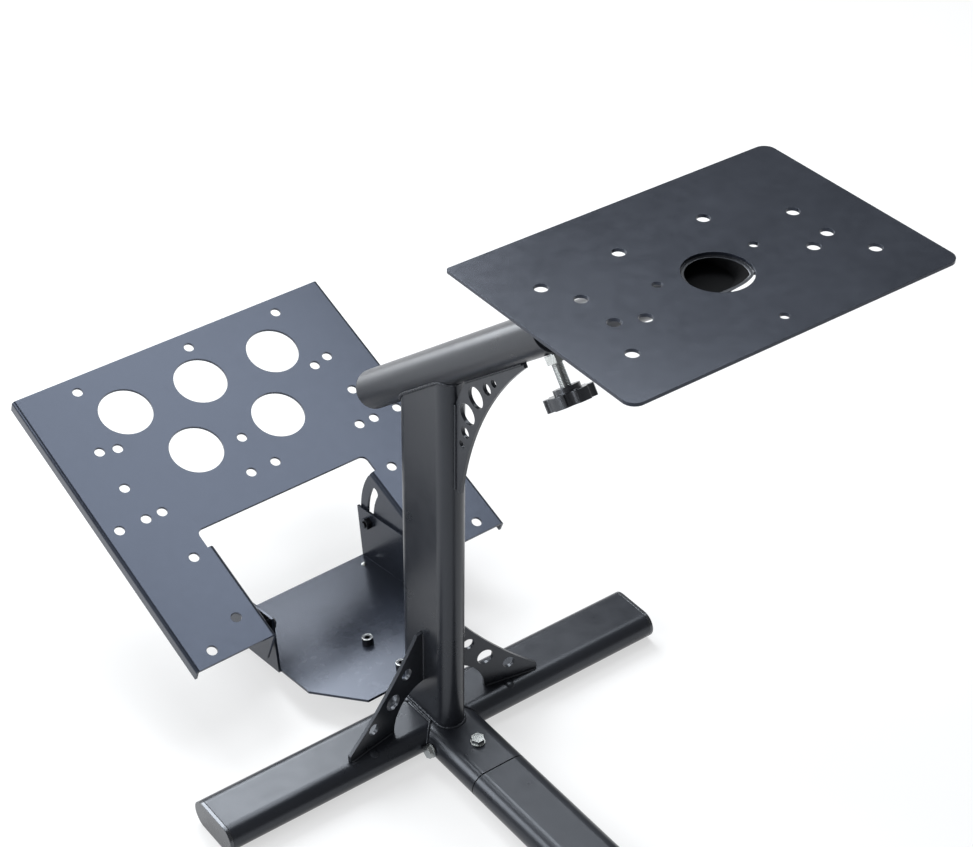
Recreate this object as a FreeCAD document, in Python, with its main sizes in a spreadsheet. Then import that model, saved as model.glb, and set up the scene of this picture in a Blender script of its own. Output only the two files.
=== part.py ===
import FreeCAD, Part
import Sketcher
import math
import os

# Wheel and pedal frame of a sim racing cockpit.
# Frame: origin on the floor under the middle of the upright post, +X to the right of a driver on the
# seat, +Y away from the seat toward the pedals, +Z up. Millimetres.

os.makedirs("parts", exist_ok=True)

doc = FreeCAD.newDocument("cockpit")
sheet = doc.addObject("Spreadsheet::Sheet", "dims")
row_number = 0


def put(alias, value):
    """One sheet cell with an alias: a plain number, or a formula on earlier aliases."""
    global row_number
    row_number += 1
    cell = "A" + str(row_number)
    sheet.set(cell, str(value))
    sheet.setAlias(cell, alias)


# Foot tubes and seat rail: one flat oval section
put("tube_wide", 70)
put("tube_high", 32)
put("tube_wall", 2)
put("cross_span", 550)
put("sleeve_ahead", 44)
put("sleeve_behind", 115)
put("seam", 1.2)
put("rail_end", 640)
put("spigot_reach", 70)
put("spigot_play", 0.3)
put("weld_gap", 0.3)
put("cap_flange", 4)
put("cap_plug", 18)
put("rear_y", "=-rail_end - tube_wide / 2 - weld_gap")
put("tube_flat", "=tube_wide - tube_high")
put("tube_round", "=tube_high / 2")
# Upright post
put("post_deep", 85)
put("post_thick", 32)
put("post_wall", 2)
# Wheel arm, sloping up toward the seat, and the tube that slides in it
put("arm_axis_z", 471)
put("arm_slope", 38.7)
put("arm_dia", 41)
put("arm_wall", 2.5)
put("arm_back", 130)
put("arm_ahead", 230)
put("slide_fit", 0.06)
put("slider_wall", 2)
put("slider_from", 40)
put("slider_to", 520)
put("slider_top_z", 762)
put("arm_bore", "=arm_dia / 2 - arm_wall")
put("slider_rad", "=arm_bore - slide_fit")
put("pin_play", 0.3)
# Wheel plate, level above the upper end of the sliding tube
put("wheel_wide", 335.6)
put("wheel_deep", 225.3)
put("wheel_thick", 3)
put("wheel_y", 365.2)
put("wheel_under_z", 775)
put("wheel_corner", 11)
put("wheel_tight", 3)
put("big_hole", 29.3)
put("big_hole_y", 15)
put("stud_hole", 5.9)
put("small_hole", 4.2)
put("wh_ax", 124.6)
put("wh_ay", 47.5)
put("wh_bx", 109.6)
put("wh_by", 17.4)
put("wh_cx", 44)
put("wh_cy", 52.1)
put("wh_dy", 22)
put("wh_ex", 86.4)
put("wh_ey", 31.2)
put("wh_fy", 61.3)
put("wh_gx", 49.8)
put("wh_gy", 1.2)
put("wh_oy", 90.7)
put("socket_rad_out", 28.7)
put("socket_bore", 26.2)
put("socket_tall", 42)
# Clamp under the upper end of the arm
put("clamp_at", 217.5)
put("nut_flats", 17)
put("nut_high", 8)
put("stud_rad", 5)
put("knob_rad", 24)
put("knob_high", 12)
put("knob_hub", 13)
put("hub_high", 5)
put("knob_out", 68)
# Gusset plates
put("gusset_thick", 4)
put("gusset_splay", 10)
put("gusset_y", 3)
put("top_gusset_x", 2)
# Pedal unit: how far it is turned and set off, as photographed
put("unit_turn", 1.39)
put("unit_shift", 4.5)
put("tray_shift", 3.7)
# Pedal plate
put("sheet", 3)
put("pedal_wide", 415)
put("pedal_long", 394)
put("pedal_slope", 21.04)
put("pedal_y", 142.7)
put("pedal_z", 89.24)
put("lip_deep", 15)
put("bend", 4)
put("notch_in", 106)
put("fold_rad", 5.5)
put("notch_relief", 114)
put("relief_from", 128.3)
put("notch_long", 152.3)
put("notch_round", 8)
put("large_hole", 31.5)
put("pedal_hole", 6)
put("pivot_y", 178)
put("pivot_z", 72)
put("ear_rad", 105)
put("ear_low", 44)
put("slot_rad", 86)
put("slot_half", 6)
put("slot_start", -14)
put("slot_sweep", 41)
put("lock_drop", 6)
put("pivot_rad", 4)
put("pivot_fit", 0.05)
# Pedal base
put("pad_high", 3)
put("base_half", 99)
put("base_long", 234.5)
put("base_y", 44.5)
put("flange_high", 72)
put("base_slope", "=asin((tube_high + weld_gap - pad_high) / base_long)")
doc.recompute()


def value(alias):
    """Plain number of a sheet cell."""
    got = sheet.get(alias)
    return float(getattr(got, "Value", got))


def near(alias_or_number):
    """A number from an alias with an optional leading minus, or a plain zero."""
    if alias_or_number == "0":
        return 0.0
    if alias_or_number.startswith("-"):
        return -value(alias_or_number[1:])
    return value(alias_or_number)


def fix_axis(sketch, geo, point, kind, word):
    """Holds one coordinate of a sketch point at plus or minus a sheet cell."""
    if word == "0":
        axis = -2 if kind == "DistanceX" else -1
        sketch.addConstraint(Sketcher.Constraint("PointOnObject", geo, point, axis))
        return
    size = abs(near(word))
    if near(word) >= 0:
        number = sketch.addConstraint(Sketcher.Constraint(kind, -1, 1, geo, point, size))
    else:
        number = sketch.addConstraint(Sketcher.Constraint(kind, geo, point, -1, 1, size))
    sketch.setExpression("Constraints[" + str(number) + "]", "dims." + word.lstrip("-"))


def add_circle(sketch, x_word, y_word, radius_word):
    """One round hole or boss outline with its centre and radius from the sheet."""
    centre = FreeCAD.Vector(near(x_word), near(y_word), 0)
    circle = Part.Circle(centre, FreeCAD.Vector(0, 0, 1), near(radius_word))
    geo = sketch.addGeometry(circle, False)
    number = sketch.addConstraint(Sketcher.Constraint("Radius", geo, near(radius_word)))
    sketch.setExpression("Constraints[" + str(number) + "]", "dims." + radius_word)
    fix_axis(sketch, geo, 3, "DistanceX", x_word)
    fix_axis(sketch, geo, 3, "DistanceY", y_word)


def arc_between(start, end, radius, bulge):
    """Arc from start to end; bulge +1 turns left of the chord, -1 right of it."""
    chord = end - start
    half = chord.Length / 2
    middle = (start + end) * 0.5
    normal = FreeCAD.Vector(-chord.y, chord.x, 0)
    normal.normalize()
    offset = math.sqrt(max(radius * radius - half * half, 0))
    centre = middle + normal * (offset * bulge)
    first = math.atan2(start.y - centre.y, start.x - centre.x)
    last = math.atan2(end.y - centre.y, end.x - centre.x)
    circle = Part.Circle(centre, FreeCAD.Vector(0, 0, 1), radius)
    if bulge > 0:
        return Part.ArcOfCircle(circle, first, last if last > first else last + 2 * math.pi), 1, 2
    return Part.ArcOfCircle(circle, last, first if first > last else first + 2 * math.pi), 2, 1


def add_loop(sketch, corners):
    """Closed outline. Each corner is (x word, y word) or (x word, y word, radius word, bulge) where
    the radius and bulge shape the side that leaves the corner."""
    places = []
    for corner in corners:
        places.append(FreeCAD.Vector(near(corner[0]), near(corner[1]), 0))
    sides = []
    for index, corner in enumerate(corners):
        start = places[index]
        end = places[(index + 1) % len(places)]
        if len(corner) == 2:
            geo = sketch.addGeometry(Part.LineSegment(start, end), False)
            sides.append((geo, 1, 2))
        else:
            arc, first, last = arc_between(start, end, near(corner[2]), corner[3])
            geo = sketch.addGeometry(arc, False)
            number = sketch.addConstraint(Sketcher.Constraint("Radius", geo, near(corner[2])))
            sketch.setExpression("Constraints[" + str(number) + "]", "dims." + corner[2])
            sides.append((geo, first, last))
    for index, corner in enumerate(corners):
        geo, first, last = sides[index]
        before, before_first, before_last = sides[index - 1]
        sketch.addConstraint(Sketcher.Constraint("Coincident", before, before_last, geo, first))
        fix_axis(sketch, geo, first, "DistanceX", corner[0])
        fix_axis(sketch, geo, first, "DistanceY", corner[1])


def add_stadium(sketch, flat_word, radius_word):
    """Flat oval outline about the sketch origin, long side along sketch x."""
    half = near(flat_word) / 2
    radius = near(radius_word)
    top_line = Part.LineSegment(FreeCAD.Vector(half, radius, 0), FreeCAD.Vector(-half, radius, 0))
    top = sketch.addGeometry(top_line, False)
    left_circle = Part.Circle(FreeCAD.Vector(-half, 0, 0), FreeCAD.Vector(0, 0, 1), radius)
    left = sketch.addGeometry(Part.ArcOfCircle(left_circle, math.pi / 2, 3 * math.pi / 2), False)
    low_line = Part.LineSegment(FreeCAD.Vector(-half, -radius, 0), FreeCAD.Vector(half, -radius, 0))
    low = sketch.addGeometry(low_line, False)
    right_circle = Part.Circle(FreeCAD.Vector(half, 0, 0), FreeCAD.Vector(0, 0, 1), radius)
    right = sketch.addGeometry(Part.ArcOfCircle(right_circle, -math.pi / 2, math.pi / 2), False)
    sketch.addConstraint(Sketcher.Constraint("Tangent", top, 2, left, 1))
    sketch.addConstraint(Sketcher.Constraint("Tangent", left, 2, low, 1))
    sketch.addConstraint(Sketcher.Constraint("Tangent", low, 2, right, 1))
    sketch.addConstraint(Sketcher.Constraint("Tangent", right, 2, top, 1))
    sketch.addConstraint(Sketcher.Constraint("Horizontal", top))
    sketch.addConstraint(Sketcher.Constraint("Symmetric", left, 3, right, 3, -1, 1))
    number = sketch.addConstraint(Sketcher.Constraint("Radius", left, radius))
    sketch.setExpression("Constraints[" + str(number) + "]", "dims." + radius_word)
    number = sketch.addConstraint(Sketcher.Constraint("DistanceX", left, 3, right, 3, 2 * half))
    sketch.setExpression("Constraints[" + str(number) + "]", "dims." + flat_word)


def plane_of(body, role):
    """One of the body's own origin planes."""
    for feature in body.Origin.OriginFeatures:
        if feature.Role == role:
            return feature
    raise ValueError(role)


def new_sketch(body, name, role="XY_Plane"):
    """Empty sketch on one of the body's origin planes."""
    sketch = body.newObject("Sketcher::SketchObject", name)
    sketch.AttachmentSupport = (plane_of(body, role), [""])
    sketch.MapMode = "FlatFace"
    return sketch


def new_body(name):
    """Empty body whose label is its node name."""
    body = doc.addObject("PartDesign::Body", "body_" + name)
    body.Label = name
    return body


def pad(body, sketch, name, length_word, reverse=False, midplane=False):
    """Solid of a sketch, as long as a sheet cell says."""
    feature = body.newObject("PartDesign::Pad", name)
    feature.Profile = sketch
    feature.Length = value(length_word)
    feature.setExpression("Length", "dims." + length_word)
    feature.Reversed = reverse
    feature.Midplane = midplane
    doc.recompute()
    return feature


def pocket(body, sketch, name):
    """Cut of a sketch through everything, both ways."""
    feature = body.newObject("PartDesign::Pocket", name)
    feature.Profile = sketch
    feature.Type = 1
    feature.Midplane = True
    doc.recompute()
    return feature


def stadium_tube(name, length_word, flat_word, outer_word, inner_word, midplane=False):
    """Flat oval tube along local z, wide along local x."""
    body = new_body(name)
    sketch = new_sketch(body, name + "_section")
    add_stadium(sketch, flat_word, outer_word)
    if inner_word:
        add_stadium(sketch, flat_word, inner_word)
    pad(body, sketch, name + "_run", length_word, midplane=midplane)
    return body


def moved(obj, place, words=None):
    """Sets a placement and binds its base coordinates to sheet formulas."""
    obj.Placement = place
    for axis, formula in (words or {}).items():
        obj.setExpression("Placement.Base." + axis, formula)


def turn(axis, angle):
    return FreeCAD.Rotation(axis, angle)


X_AXIS = FreeCAD.Vector(1, 0, 0)
Y_AXIS = FreeCAD.Vector(0, 1, 0)
Z_AXIS = FreeCAD.Vector(0, 0, 1)
ALONG_X = FreeCAD.Rotation(FreeCAD.Vector(1, 1, 1), 120)
ALONG_BACK = FreeCAD.Rotation(X_AXIS, 90)
UPRIGHT = FreeCAD.Rotation(Z_AXIS, 90)
HERE = FreeCAD.Vector(0, 0, 0)

finished = {}


def keep(name, obj):
    """Marks an object as the finished piece of a node."""
    obj.Label = name
    finished[name] = obj


put("tube_bore", "=tube_round - tube_wall")
put("spigot_round", "=tube_bore - spigot_play")
put("spigot_bore", "=spigot_round - tube_wall")
put("spigot_long", "=2 * spigot_reach")
put("sleeve_long", "=sleeve_ahead + sleeve_behind")
put("rail_long", "=rail_end - sleeve_behind - seam")
put("half_span", "=cross_span / 2")
put("post_flat", "=post_deep - post_thick")
put("post_round", "=post_thick / 2")
put("post_bore", "=post_round - post_wall")
put("post_tall", "=arm_axis_z + post_deep - tube_high - weld_gap")
put("arm_rad", "=arm_dia / 2")
put("arm_long", "=arm_back + arm_ahead")
put("slider_long", "=slider_to - slider_from")
put("slider_bore", "=slider_rad - slider_wall")
put("clear_round", "=tube_round + weld_gap")
put("plug_round", "=tube_bore - spigot_play")
doc.recompute()


def cutter(name, length_word, flat_word, round_word, place, words):
    """Solid flat oval bar used to shape a mating end."""
    body = stadium_tube(name, length_word, flat_word, round_word, None, midplane=True)
    moved(body, place, words)
    return body


def cut(name, base, tool):
    """Base less tool as a parametric boolean."""
    feature = doc.addObject("Part::Cut", name)
    feature.Base = base
    feature.Tool = tool
    doc.recompute()
    return feature


def fuse(name, shapes):
    """Union of shapes as a parametric boolean."""
    feature = doc.addObject("Part::MultiFuse", name)
    feature.Shapes = shapes
    feature.Refine = True
    doc.recompute()
    return feature


# Front sleeve, the rail it joins and the spigot inside both
sleeve = stadium_tube("front_sleeve", "sleeve_long", "tube_flat", "tube_round", "tube_bore")
moved(sleeve, FreeCAD.Placement(HERE, ALONG_BACK), {"y": "dims.sleeve_ahead", "z": "dims.tube_round"})
keep("front_sleeve", sleeve)

rail = stadium_tube("seat_rail", "rail_long", "tube_flat", "tube_round", "tube_bore")
moved(rail, FreeCAD.Placement(HERE, ALONG_BACK),
      {"y": "-dims.sleeve_behind - dims.seam", "z": "dims.tube_round"})
keep("seat_rail", rail)

spigot = stadium_tube("rail_spigot", "spigot_long", "tube_flat", "spigot_round", "spigot_bore")
moved(spigot, FreeCAD.Placement(HERE, ALONG_BACK),
      {"y": "-dims.sleeve_behind + dims.spigot_reach", "z": "dims.tube_round"})
keep("rail_spigot", spigot)

# Foot tubes, each half butted on the middle tube
for end_name, side in (("left", -1), ("right", 1)):
    plain = stadium_tube("front_foot_" + end_name + "_plain", "half_span", "tube_flat", "tube_round",
                         "tube_bore")
    side_x = "-dims.half_span" if side < 0 else "0"
    moved(plain, FreeCAD.Placement(HERE, ALONG_X), {"x": side_x, "z": "dims.tube_round"})
    bar = cutter("front_foot_" + end_name + "_seat", "cross_span", "tube_flat", "clear_round",
                 FreeCAD.Placement(HERE, ALONG_BACK), {"z": "dims.tube_round"})
    keep("front_foot_" + end_name, cut("front_foot_" + end_name, plain, bar))

rear = stadium_tube("rear_foot", "cross_span", "tube_flat", "tube_round", "tube_bore", midplane=True)
moved(rear, FreeCAD.Placement(HERE, ALONG_X), {"y": "dims.rear_y", "z": "dims.tube_round"})
rail_cope = cutter("seat_rail_seat", "cross_span", "tube_flat", "clear_round",
                   FreeCAD.Placement(HERE, ALONG_X), {"y": "dims.rear_y", "z": "dims.tube_round"})
keep("rear_foot", rear)
rail.Label = "seat_rail_plain"
put("rail_reach", "=rail_long + tube_round")
doc.recompute()
rail.Tip.setExpression("Length", "dims.rail_reach")
keep("seat_rail", cut("seat_rail", rail, rail_cope))


def end_cap(name, side, y_formula):
    """Plug and rim that close one end of a foot tube."""
    body = new_body(name)
    rim = new_sketch(body, name + "_rim_outline")
    add_stadium(rim, "tube_flat", "tube_round")
    pad(body, rim, name + "_rim", "cap_flange")
    plug = new_sketch(body, name + "_plug_outline")
    add_stadium(plug, "tube_flat", "plug_round")
    pad(body, plug, name + "_plug", "cap_plug", reverse=True)
    if side > 0:
        moved(body, FreeCAD.Placement(HERE, ALONG_X),
              {"x": "dims.half_span + dims.weld_gap", "y": y_formula, "z": "dims.tube_round"})
    else:
        moved(body, FreeCAD.Placement(HERE, ALONG_X.multiply(turn(Y_AXIS, 180))),
              {"x": "-dims.half_span - dims.weld_gap", "y": y_formula, "z": "dims.tube_round"})
    keep(name, body)


end_cap("front_cap_left", -1, "0")
end_cap("front_cap_right", 1, "0")
end_cap("rear_cap_left", -1, "dims.rear_y")
end_cap("rear_cap_right", 1, "dims.rear_y")

# Upright post, cut to the slope of the arm and coped under it
post_plain = stadium_tube("post_plain", "post_tall", "post_flat", "post_round", "post_bore")
moved(post_plain, FreeCAD.Placement(HERE, UPRIGHT), {"z": "dims.tube_high + dims.weld_gap"})
put("arm_clear", "=arm_rad + weld_gap")
put("cope_long", "=3 * post_deep")
doc.recompute()


def round_bar(name, radius_word, length_word, place, words, bore_word=None):
    """Round bar or tube along local z."""
    body = new_body(name)
    sketch = new_sketch(body, name + "_outline")
    add_circle(sketch, "0", "0", radius_word)
    if bore_word:
        add_circle(sketch, "0", "0", bore_word)
    pad(body, sketch, name + "_run", length_word)
    moved(body, place, words)
    return body


# Turns that lay local z along the arm, down the arm and square off its underside
ARM_SLOPE = value("arm_slope")
ALONG_ARM = turn(X_AXIS, 90 - ARM_SLOPE)
DOWN_ARM = turn(X_AXIS, -90 - ARM_SLOPE)
OFF_ARM = turn(X_AXIS, 180 - ARM_SLOPE)
sin_arm = "sin(dims.arm_slope * 1deg)"
cos_arm = "cos(dims.arm_slope * 1deg)"


def on_arm(along, under="0"):
    """Base formulas of a point along the arm's axis and square under it."""
    return {
        "y": "-(" + along + ") * " + cos_arm + " - (" + under + ") * " + sin_arm,
        "z": "dims.arm_axis_z + (" + along + ") * " + sin_arm + " - (" + under + ") * " + cos_arm,
    }


def wide_box(name, rotation, words):
    """Large block used to trim ends."""
    box = doc.addObject("Part::Box", name)
    for side in ("Length", "Width", "Height"):
        box.setExpression(side, "dims.cope_long")
    moved(box, FreeCAD.Placement(HERE, rotation), words)
    return box


cope = round_bar("post_seat", "arm_clear", "cope_long", FreeCAD.Placement(HERE, ALONG_ARM),
                 on_arm("-dims.cope_long / 2"))
above = wide_box("post_above_arm", turn(X_AXIS, -ARM_SLOPE), {
    "x": "-dims.cope_long / 2",
    "y": "-dims.cope_long / 2 * " + cos_arm,
    "z": "dims.arm_axis_z + dims.cope_long / 2 * " + sin_arm,
})
keep("post", cut("post", post_plain, fuse("post_top_cut", [cope, above])))

# Wheel arm with its end cap, and the tube that slides inside
arm = round_bar("wheel_arm_plain", "arm_rad", "arm_long", FreeCAD.Placement(HERE, ALONG_ARM),
                on_arm("-dims.arm_back"), "arm_bore")
slider = round_bar("arm_slider_plain", "slider_rad", "slider_long", FreeCAD.Placement(HERE, ALONG_ARM),
                   on_arm("dims.slider_from"), "slider_bore")
level_cut = wide_box("arm_slider_top", FreeCAD.Rotation(), {
    "x": "-dims.cope_long / 2",
    "y": "-dims.wheel_y - dims.cope_long / 2",
    "z": "dims.slider_top_z",
})
keep("arm_slider", cut("arm_slider", slider, level_cut))

put("dome_bulge", 4)
put("dome_plug", 14)
put("dome_plug_rad", "=arm_bore - pin_play")
put("dome_rad", "=(arm_rad * arm_rad + dome_bulge * dome_bulge) / (2 * dome_bulge)")
doc.recompute()
cap = new_body("arm_cap")
profile = new_sketch(cap, "arm_cap_profile", "XZ_Plane")
add_loop(profile, [
    ("0", "-dome_plug"), ("dome_plug_rad", "-dome_plug"), ("dome_plug_rad", "0"),
    ("arm_rad", "0", "dome_rad", 1), ("0", "dome_bulge"),
])
turned = cap.newObject("PartDesign::Revolution", "arm_cap_turned")
turned.Profile = profile
turned.ReferenceAxis = (profile, ["V_Axis"])
turned.Angle = 360
doc.recompute()
moved(cap, FreeCAD.Placement(HERE, DOWN_ARM), on_arm("-dims.arm_back - dims.weld_gap"))
keep("arm_cap", cap)

# Wheel plate
plate = new_body("wheel_plate")
put("wheel_half_x", "=wheel_wide / 2")
put("wheel_half_y", "=wheel_deep / 2")
put("wheel_flat_x", "=wheel_half_x - wheel_corner")
put("wheel_flat_y", "=wheel_half_y - wheel_corner")
put("wheel_tight_x", "=wheel_half_x - wheel_tight")
put("wheel_tight_y", "=wheel_half_y - wheel_tight")
doc.recompute()
outline = new_sketch(plate, "wheel_plate_outline")
add_loop(outline, [
    ("-wheel_flat_x", "-wheel_half_y"), ("wheel_flat_x", "-wheel_half_y", "wheel_corner", 1),
    ("wheel_half_x", "-wheel_flat_y"), ("wheel_half_x", "wheel_flat_y", "wheel_corner", 1),
    ("wheel_flat_x", "wheel_half_y"), ("-wheel_tight_x", "wheel_half_y", "wheel_tight", 1),
    ("-wheel_half_x", "wheel_tight_y"), ("-wheel_half_x", "-wheel_flat_y", "wheel_corner", 1),
])
pad(plate, outline, "wheel_plate_sheet", "wheel_thick")
holes = new_sketch(plate, "wheel_plate_holes")
add_circle(holes, "0", "-big_hole_y", "big_hole")
for x_word, y_word, r_word in (
        ("-wh_ax", "wh_ay", "stud_hole"), ("-wh_bx", "wh_by", "stud_hole"), ("wh_bx", "wh_by", "stud_hole"),
        ("-wh_cx", "wh_cy", "stud_hole"), ("wh_cx", "wh_cy", "stud_hole"),
        ("-wh_bx", "-wh_dy", "stud_hole"), ("wh_bx", "-wh_dy", "stud_hole"),
        ("-wh_ex", "-wh_ey", "stud_hole"), ("wh_ex", "-wh_ey", "stud_hole"),
        ("-wh_ax", "-wh_fy", "stud_hole"), ("wh_ax", "-wh_fy", "stud_hole"),
        ("-wh_gx", "-wh_gy", "small_hole"), ("wh_gx", "-wh_gy", "small_hole"), ("0", "-wh_oy", "small_hole")):
    add_circle(holes, x_word, y_word, r_word)
pocket(plate, holes, "wheel_plate_drilled")
moved(plate, FreeCAD.Placement(HERE, FreeCAD.Rotation()),
      {"y": "-dims.wheel_y", "z": "dims.wheel_under_z"})
keep("wheel_plate", plate)

# Socket under the large opening, notched over the sliding tube
put("slider_clear", "=slider_rad + weld_gap")
doc.recompute()
socket_plain = round_bar("tube_socket_plain", "socket_rad_out", "socket_tall",
                         FreeCAD.Placement(HERE, FreeCAD.Rotation()),
                         {"y": "-dims.wheel_y - dims.big_hole_y",
                          "z": "dims.wheel_under_z - dims.weld_gap - dims.socket_tall"}, "socket_bore")
socket_notch = round_bar("tube_socket_notch", "slider_clear", "slider_long",
                         FreeCAD.Placement(HERE, ALONG_ARM), on_arm("dims.slider_from"))
keep("tube_socket", cut("tube_socket", socket_plain, socket_notch))

# Clamp nut, stud and star knob under the upper end of the arm
put("nut_from", "=arm_rad + weld_gap")
put("stud_from", "=slider_rad + weld_gap")
put("stud_clear", "=stud_rad + pin_play")
put("stud_long", "=knob_out - stud_from")
put("nut_corner", "=nut_flats / 2 / cos(30deg)")
doc.recompute()
nut = doc.addObject("Part::Prism", "clamp_nut_blank")
nut.Polygon = 6
nut.setExpression("Circumradius", "dims.nut_corner")
nut.setExpression("Height", "dims.nut_high")
moved(nut, FreeCAD.Placement(HERE, OFF_ARM), on_arm("dims.clamp_at", "dims.nut_from"))
nut_bore = round_bar("clamp_nut_bore", "stud_clear", "stud_long", FreeCAD.Placement(HERE, OFF_ARM),
                     on_arm("dims.clamp_at", "dims.stud_from"))
keep("clamp_nut", cut("clamp_nut", nut, nut_bore))

arm_hole = round_bar("wheel_arm_hole", "stud_clear", "stud_long", FreeCAD.Placement(HERE, OFF_ARM),
                     on_arm("dims.clamp_at", "dims.arm_rad - 2 * dims.arm_wall"))
keep("wheel_arm", cut("wheel_arm", arm, arm_hole))

stud = round_bar("clamp_stud", "stud_rad", "stud_long", FreeCAD.Placement(HERE, OFF_ARM),
                 on_arm("dims.clamp_at", "dims.stud_from"))
keep("clamp_stud", stud)
knob = new_body("clamp_knob")
rim = new_sketch(knob, "clamp_knob_rim")
add_circle(rim, "0", "0", "knob_rad")
pad(knob, rim, "clamp_knob_disc", "knob_high")
hub = new_sketch(knob, "clamp_knob_hub")
add_circle(hub, "0", "0", "knob_hub")
pad(knob, hub, "clamp_knob_neck", "hub_high", reverse=True)
put("scoop_rad", 7)
put("scoop_at", "=knob_rad + 3")
doc.recompute()
scoop = new_sketch(knob, "clamp_knob_scoop")
add_circle(scoop, "scoop_at", "0", "scoop_rad")
scooped = pocket(knob, scoop, "clamp_knob_scooped")
ring = knob.newObject("PartDesign::PolarPattern", "clamp_knob_lobes")
ring.Originals = [scooped]
ring.Axis = (scoop, ["N_Axis"])
ring.Angle = 360
ring.Occurrences = 6
knob.Tip = ring
doc.recompute()
knob_bore = new_sketch(knob, "clamp_knob_bore")
add_circle(knob_bore, "0", "0", "stud_rad")
pocket(knob, knob_bore, "clamp_knob_bored")
moved(knob, FreeCAD.Placement(HERE, OFF_ARM), on_arm("dims.clamp_at", "dims.knob_out - dims.knob_high"))
keep("clamp_knob", knob)

# Lower gusset plates, splayed a little toward the seat
put("lowg_in", "=(post_round + weld_gap) / cos(gusset_splay * 1deg) + 0.4")
put("lowg_out", 125)
put("lowg_base", "=tube_high + weld_gap")
put("lowg_top", 143)
put("lowg_tip", 39.5)
put("lowg_toe", "=lowg_in + 8")
put("lowg_curve", 500)
put("lowg_relief", 44)
put("lowg_relief_x", "=lowg_in + lowg_relief")
put("lowg_relief_z", "=lowg_base + lowg_relief")
put("lg_small", 7)
put("lg_large", 9.5)
put("lg_ax", 41)
put("lg_az", 100)
put("lg_bx", 61.6)
put("lg_bz", 74)
put("lg_cx", 90.3)
put("lg_cz", 55)
doc.recompute()


def lower_gusset(name, sign):
    """Braced corner between the post and one foot tube, drawn in its own upright plane."""
    mark = "-" if sign < 0 else ""
    body = new_body(name)
    sketch = new_sketch(body, name + "_outline", "XZ_Plane")
    add_loop(sketch, [
        (mark + "lowg_relief_x", "lowg_base"), (mark + "lowg_out", "lowg_base"),
        (mark + "lowg_out", "lowg_tip", "lowg_curve", -sign), (mark + "lowg_toe", "lowg_top"),
        (mark + "lowg_in", "lowg_top"), (mark + "lowg_in", "lowg_relief_z", "lowg_relief", -sign),
    ])
    pad(body, sketch, name + "_sheet", "gusset_thick", midplane=True)
    drill = new_sketch(body, name + "_holes", "XZ_Plane")
    add_circle(drill, mark + "lg_ax", "lg_az", "lg_small")
    add_circle(drill, mark + "lg_bx", "lg_bz", "lg_large")
    add_circle(drill, mark + "lg_cx", "lg_cz", "lg_small")
    pocket(body, drill, name + "_drilled")
    moved(body, FreeCAD.Placement(HERE, turn(Z_AXIS, -sign * value("gusset_splay"))), {"y": "dims.gusset_y"})
    keep(name, body)


lower_gusset("lower_gusset_left", -1)
lower_gusset("lower_gusset_right", 1)

# Top gusset plate in the plane of post and arm: local x is world y, local y is world z
put("topg_in", "=post_deep / 2 + weld_gap")
put("topg_under", "=arm_rad + weld_gap")
put("topg_low_z", 353)
put("topg_low_y", 51)
put("topg_shoulder", 457)
put("topg_near", 56)
put("topg_far", 169)
put("topg_nose", 4.5)
put("topg_curve", 380)
put("sin_s", "=sin(arm_slope * 1deg)")
put("cos_s", "=cos(arm_slope * 1deg)")
put("topg_a_y", "=topg_near * cos_s + topg_under * sin_s")
put("topg_a_z", "=arm_axis_z + topg_near * sin_s - topg_under * cos_s")
put("topg_b_y", "=topg_far * cos_s + topg_under * sin_s")
put("topg_b_z", "=arm_axis_z + topg_far * sin_s - topg_under * cos_s")
put("topg_c_y", "=topg_b_y + topg_nose * sin_s")
put("topg_c_z", "=topg_b_z - topg_nose * cos_s")
put("tg_small", 4)
put("tg_mid", 6.1)
put("tg_large", 11.4)
put("tg_ay", 102.1)
put("tg_az", 514.1)
put("tg_by", 91.8)
put("tg_bz", 501.6)
put("tg_cy", 74.6)
put("tg_cz", 482)
put("tg_dy", 61.9)
put("tg_dz", 455.3)
put("tg_ey", 58.1)
put("tg_ez", 431.7)
put("tg_fy", 53.1)
put("tg_fz", 414.6)
doc.recompute()
brace = new_body("top_gusset")
sketch = new_sketch(brace, "top_gusset_outline")
add_loop(sketch, [
    ("-topg_in", "topg_shoulder"), ("-topg_in", "topg_low_z"), ("-topg_low_y", "topg_low_z", "topg_curve", 1),
    ("-topg_c_y", "topg_c_z"), ("-topg_b_y", "topg_b_z"), ("-topg_a_y", "topg_a_z"),
])
pad(brace, sketch, "top_gusset_sheet", "gusset_thick", midplane=True)
drill = new_sketch(brace, "top_gusset_holes")
for y_word, z_word, r_word in (("-tg_ay", "tg_az", "tg_small"), ("-tg_by", "tg_bz", "tg_mid"),
                               ("-tg_cy", "tg_cz", "tg_large"), ("-tg_dy", "tg_dz", "tg_large"),
                               ("-tg_ey", "tg_ez", "tg_mid"), ("-tg_fy", "tg_fz", "tg_small")):
    add_circle(drill, y_word, z_word, r_word)
pocket(brace, drill, "top_gusset_drilled")
moved(brace, FreeCAD.Placement(HERE, ALONG_X), {"x": "-dims.top_gusset_x"})
keep("top_gusset", brace)

# The pedal unit is built square and then turned and set off as one
UNIT_TURN = turn(Z_AXIS, value("unit_turn"))
sin_unit = "sin(dims.unit_turn * 1deg)"
cos_unit = "cos(dims.unit_turn * 1deg)"


def in_unit(x, y, z):
    """Base formulas of a point given in the pedal unit's own frame."""
    return {
        "x": "dims.unit_shift + (" + x + ") * " + cos_unit + " - (" + y + ") * " + sin_unit,
        "y": "(" + x + ") * " + sin_unit + " + (" + y + ") * " + cos_unit,
        "z": z,
    }


def keep_in_unit(name, obj, x="0"):
    """Turns a finished boolean with the unit, set off along its x, and marks it as a node."""
    moved(obj, FreeCAD.Placement(HERE, UNIT_TURN), in_unit(x, "0", "0"))
    keep(name, obj)


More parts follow.
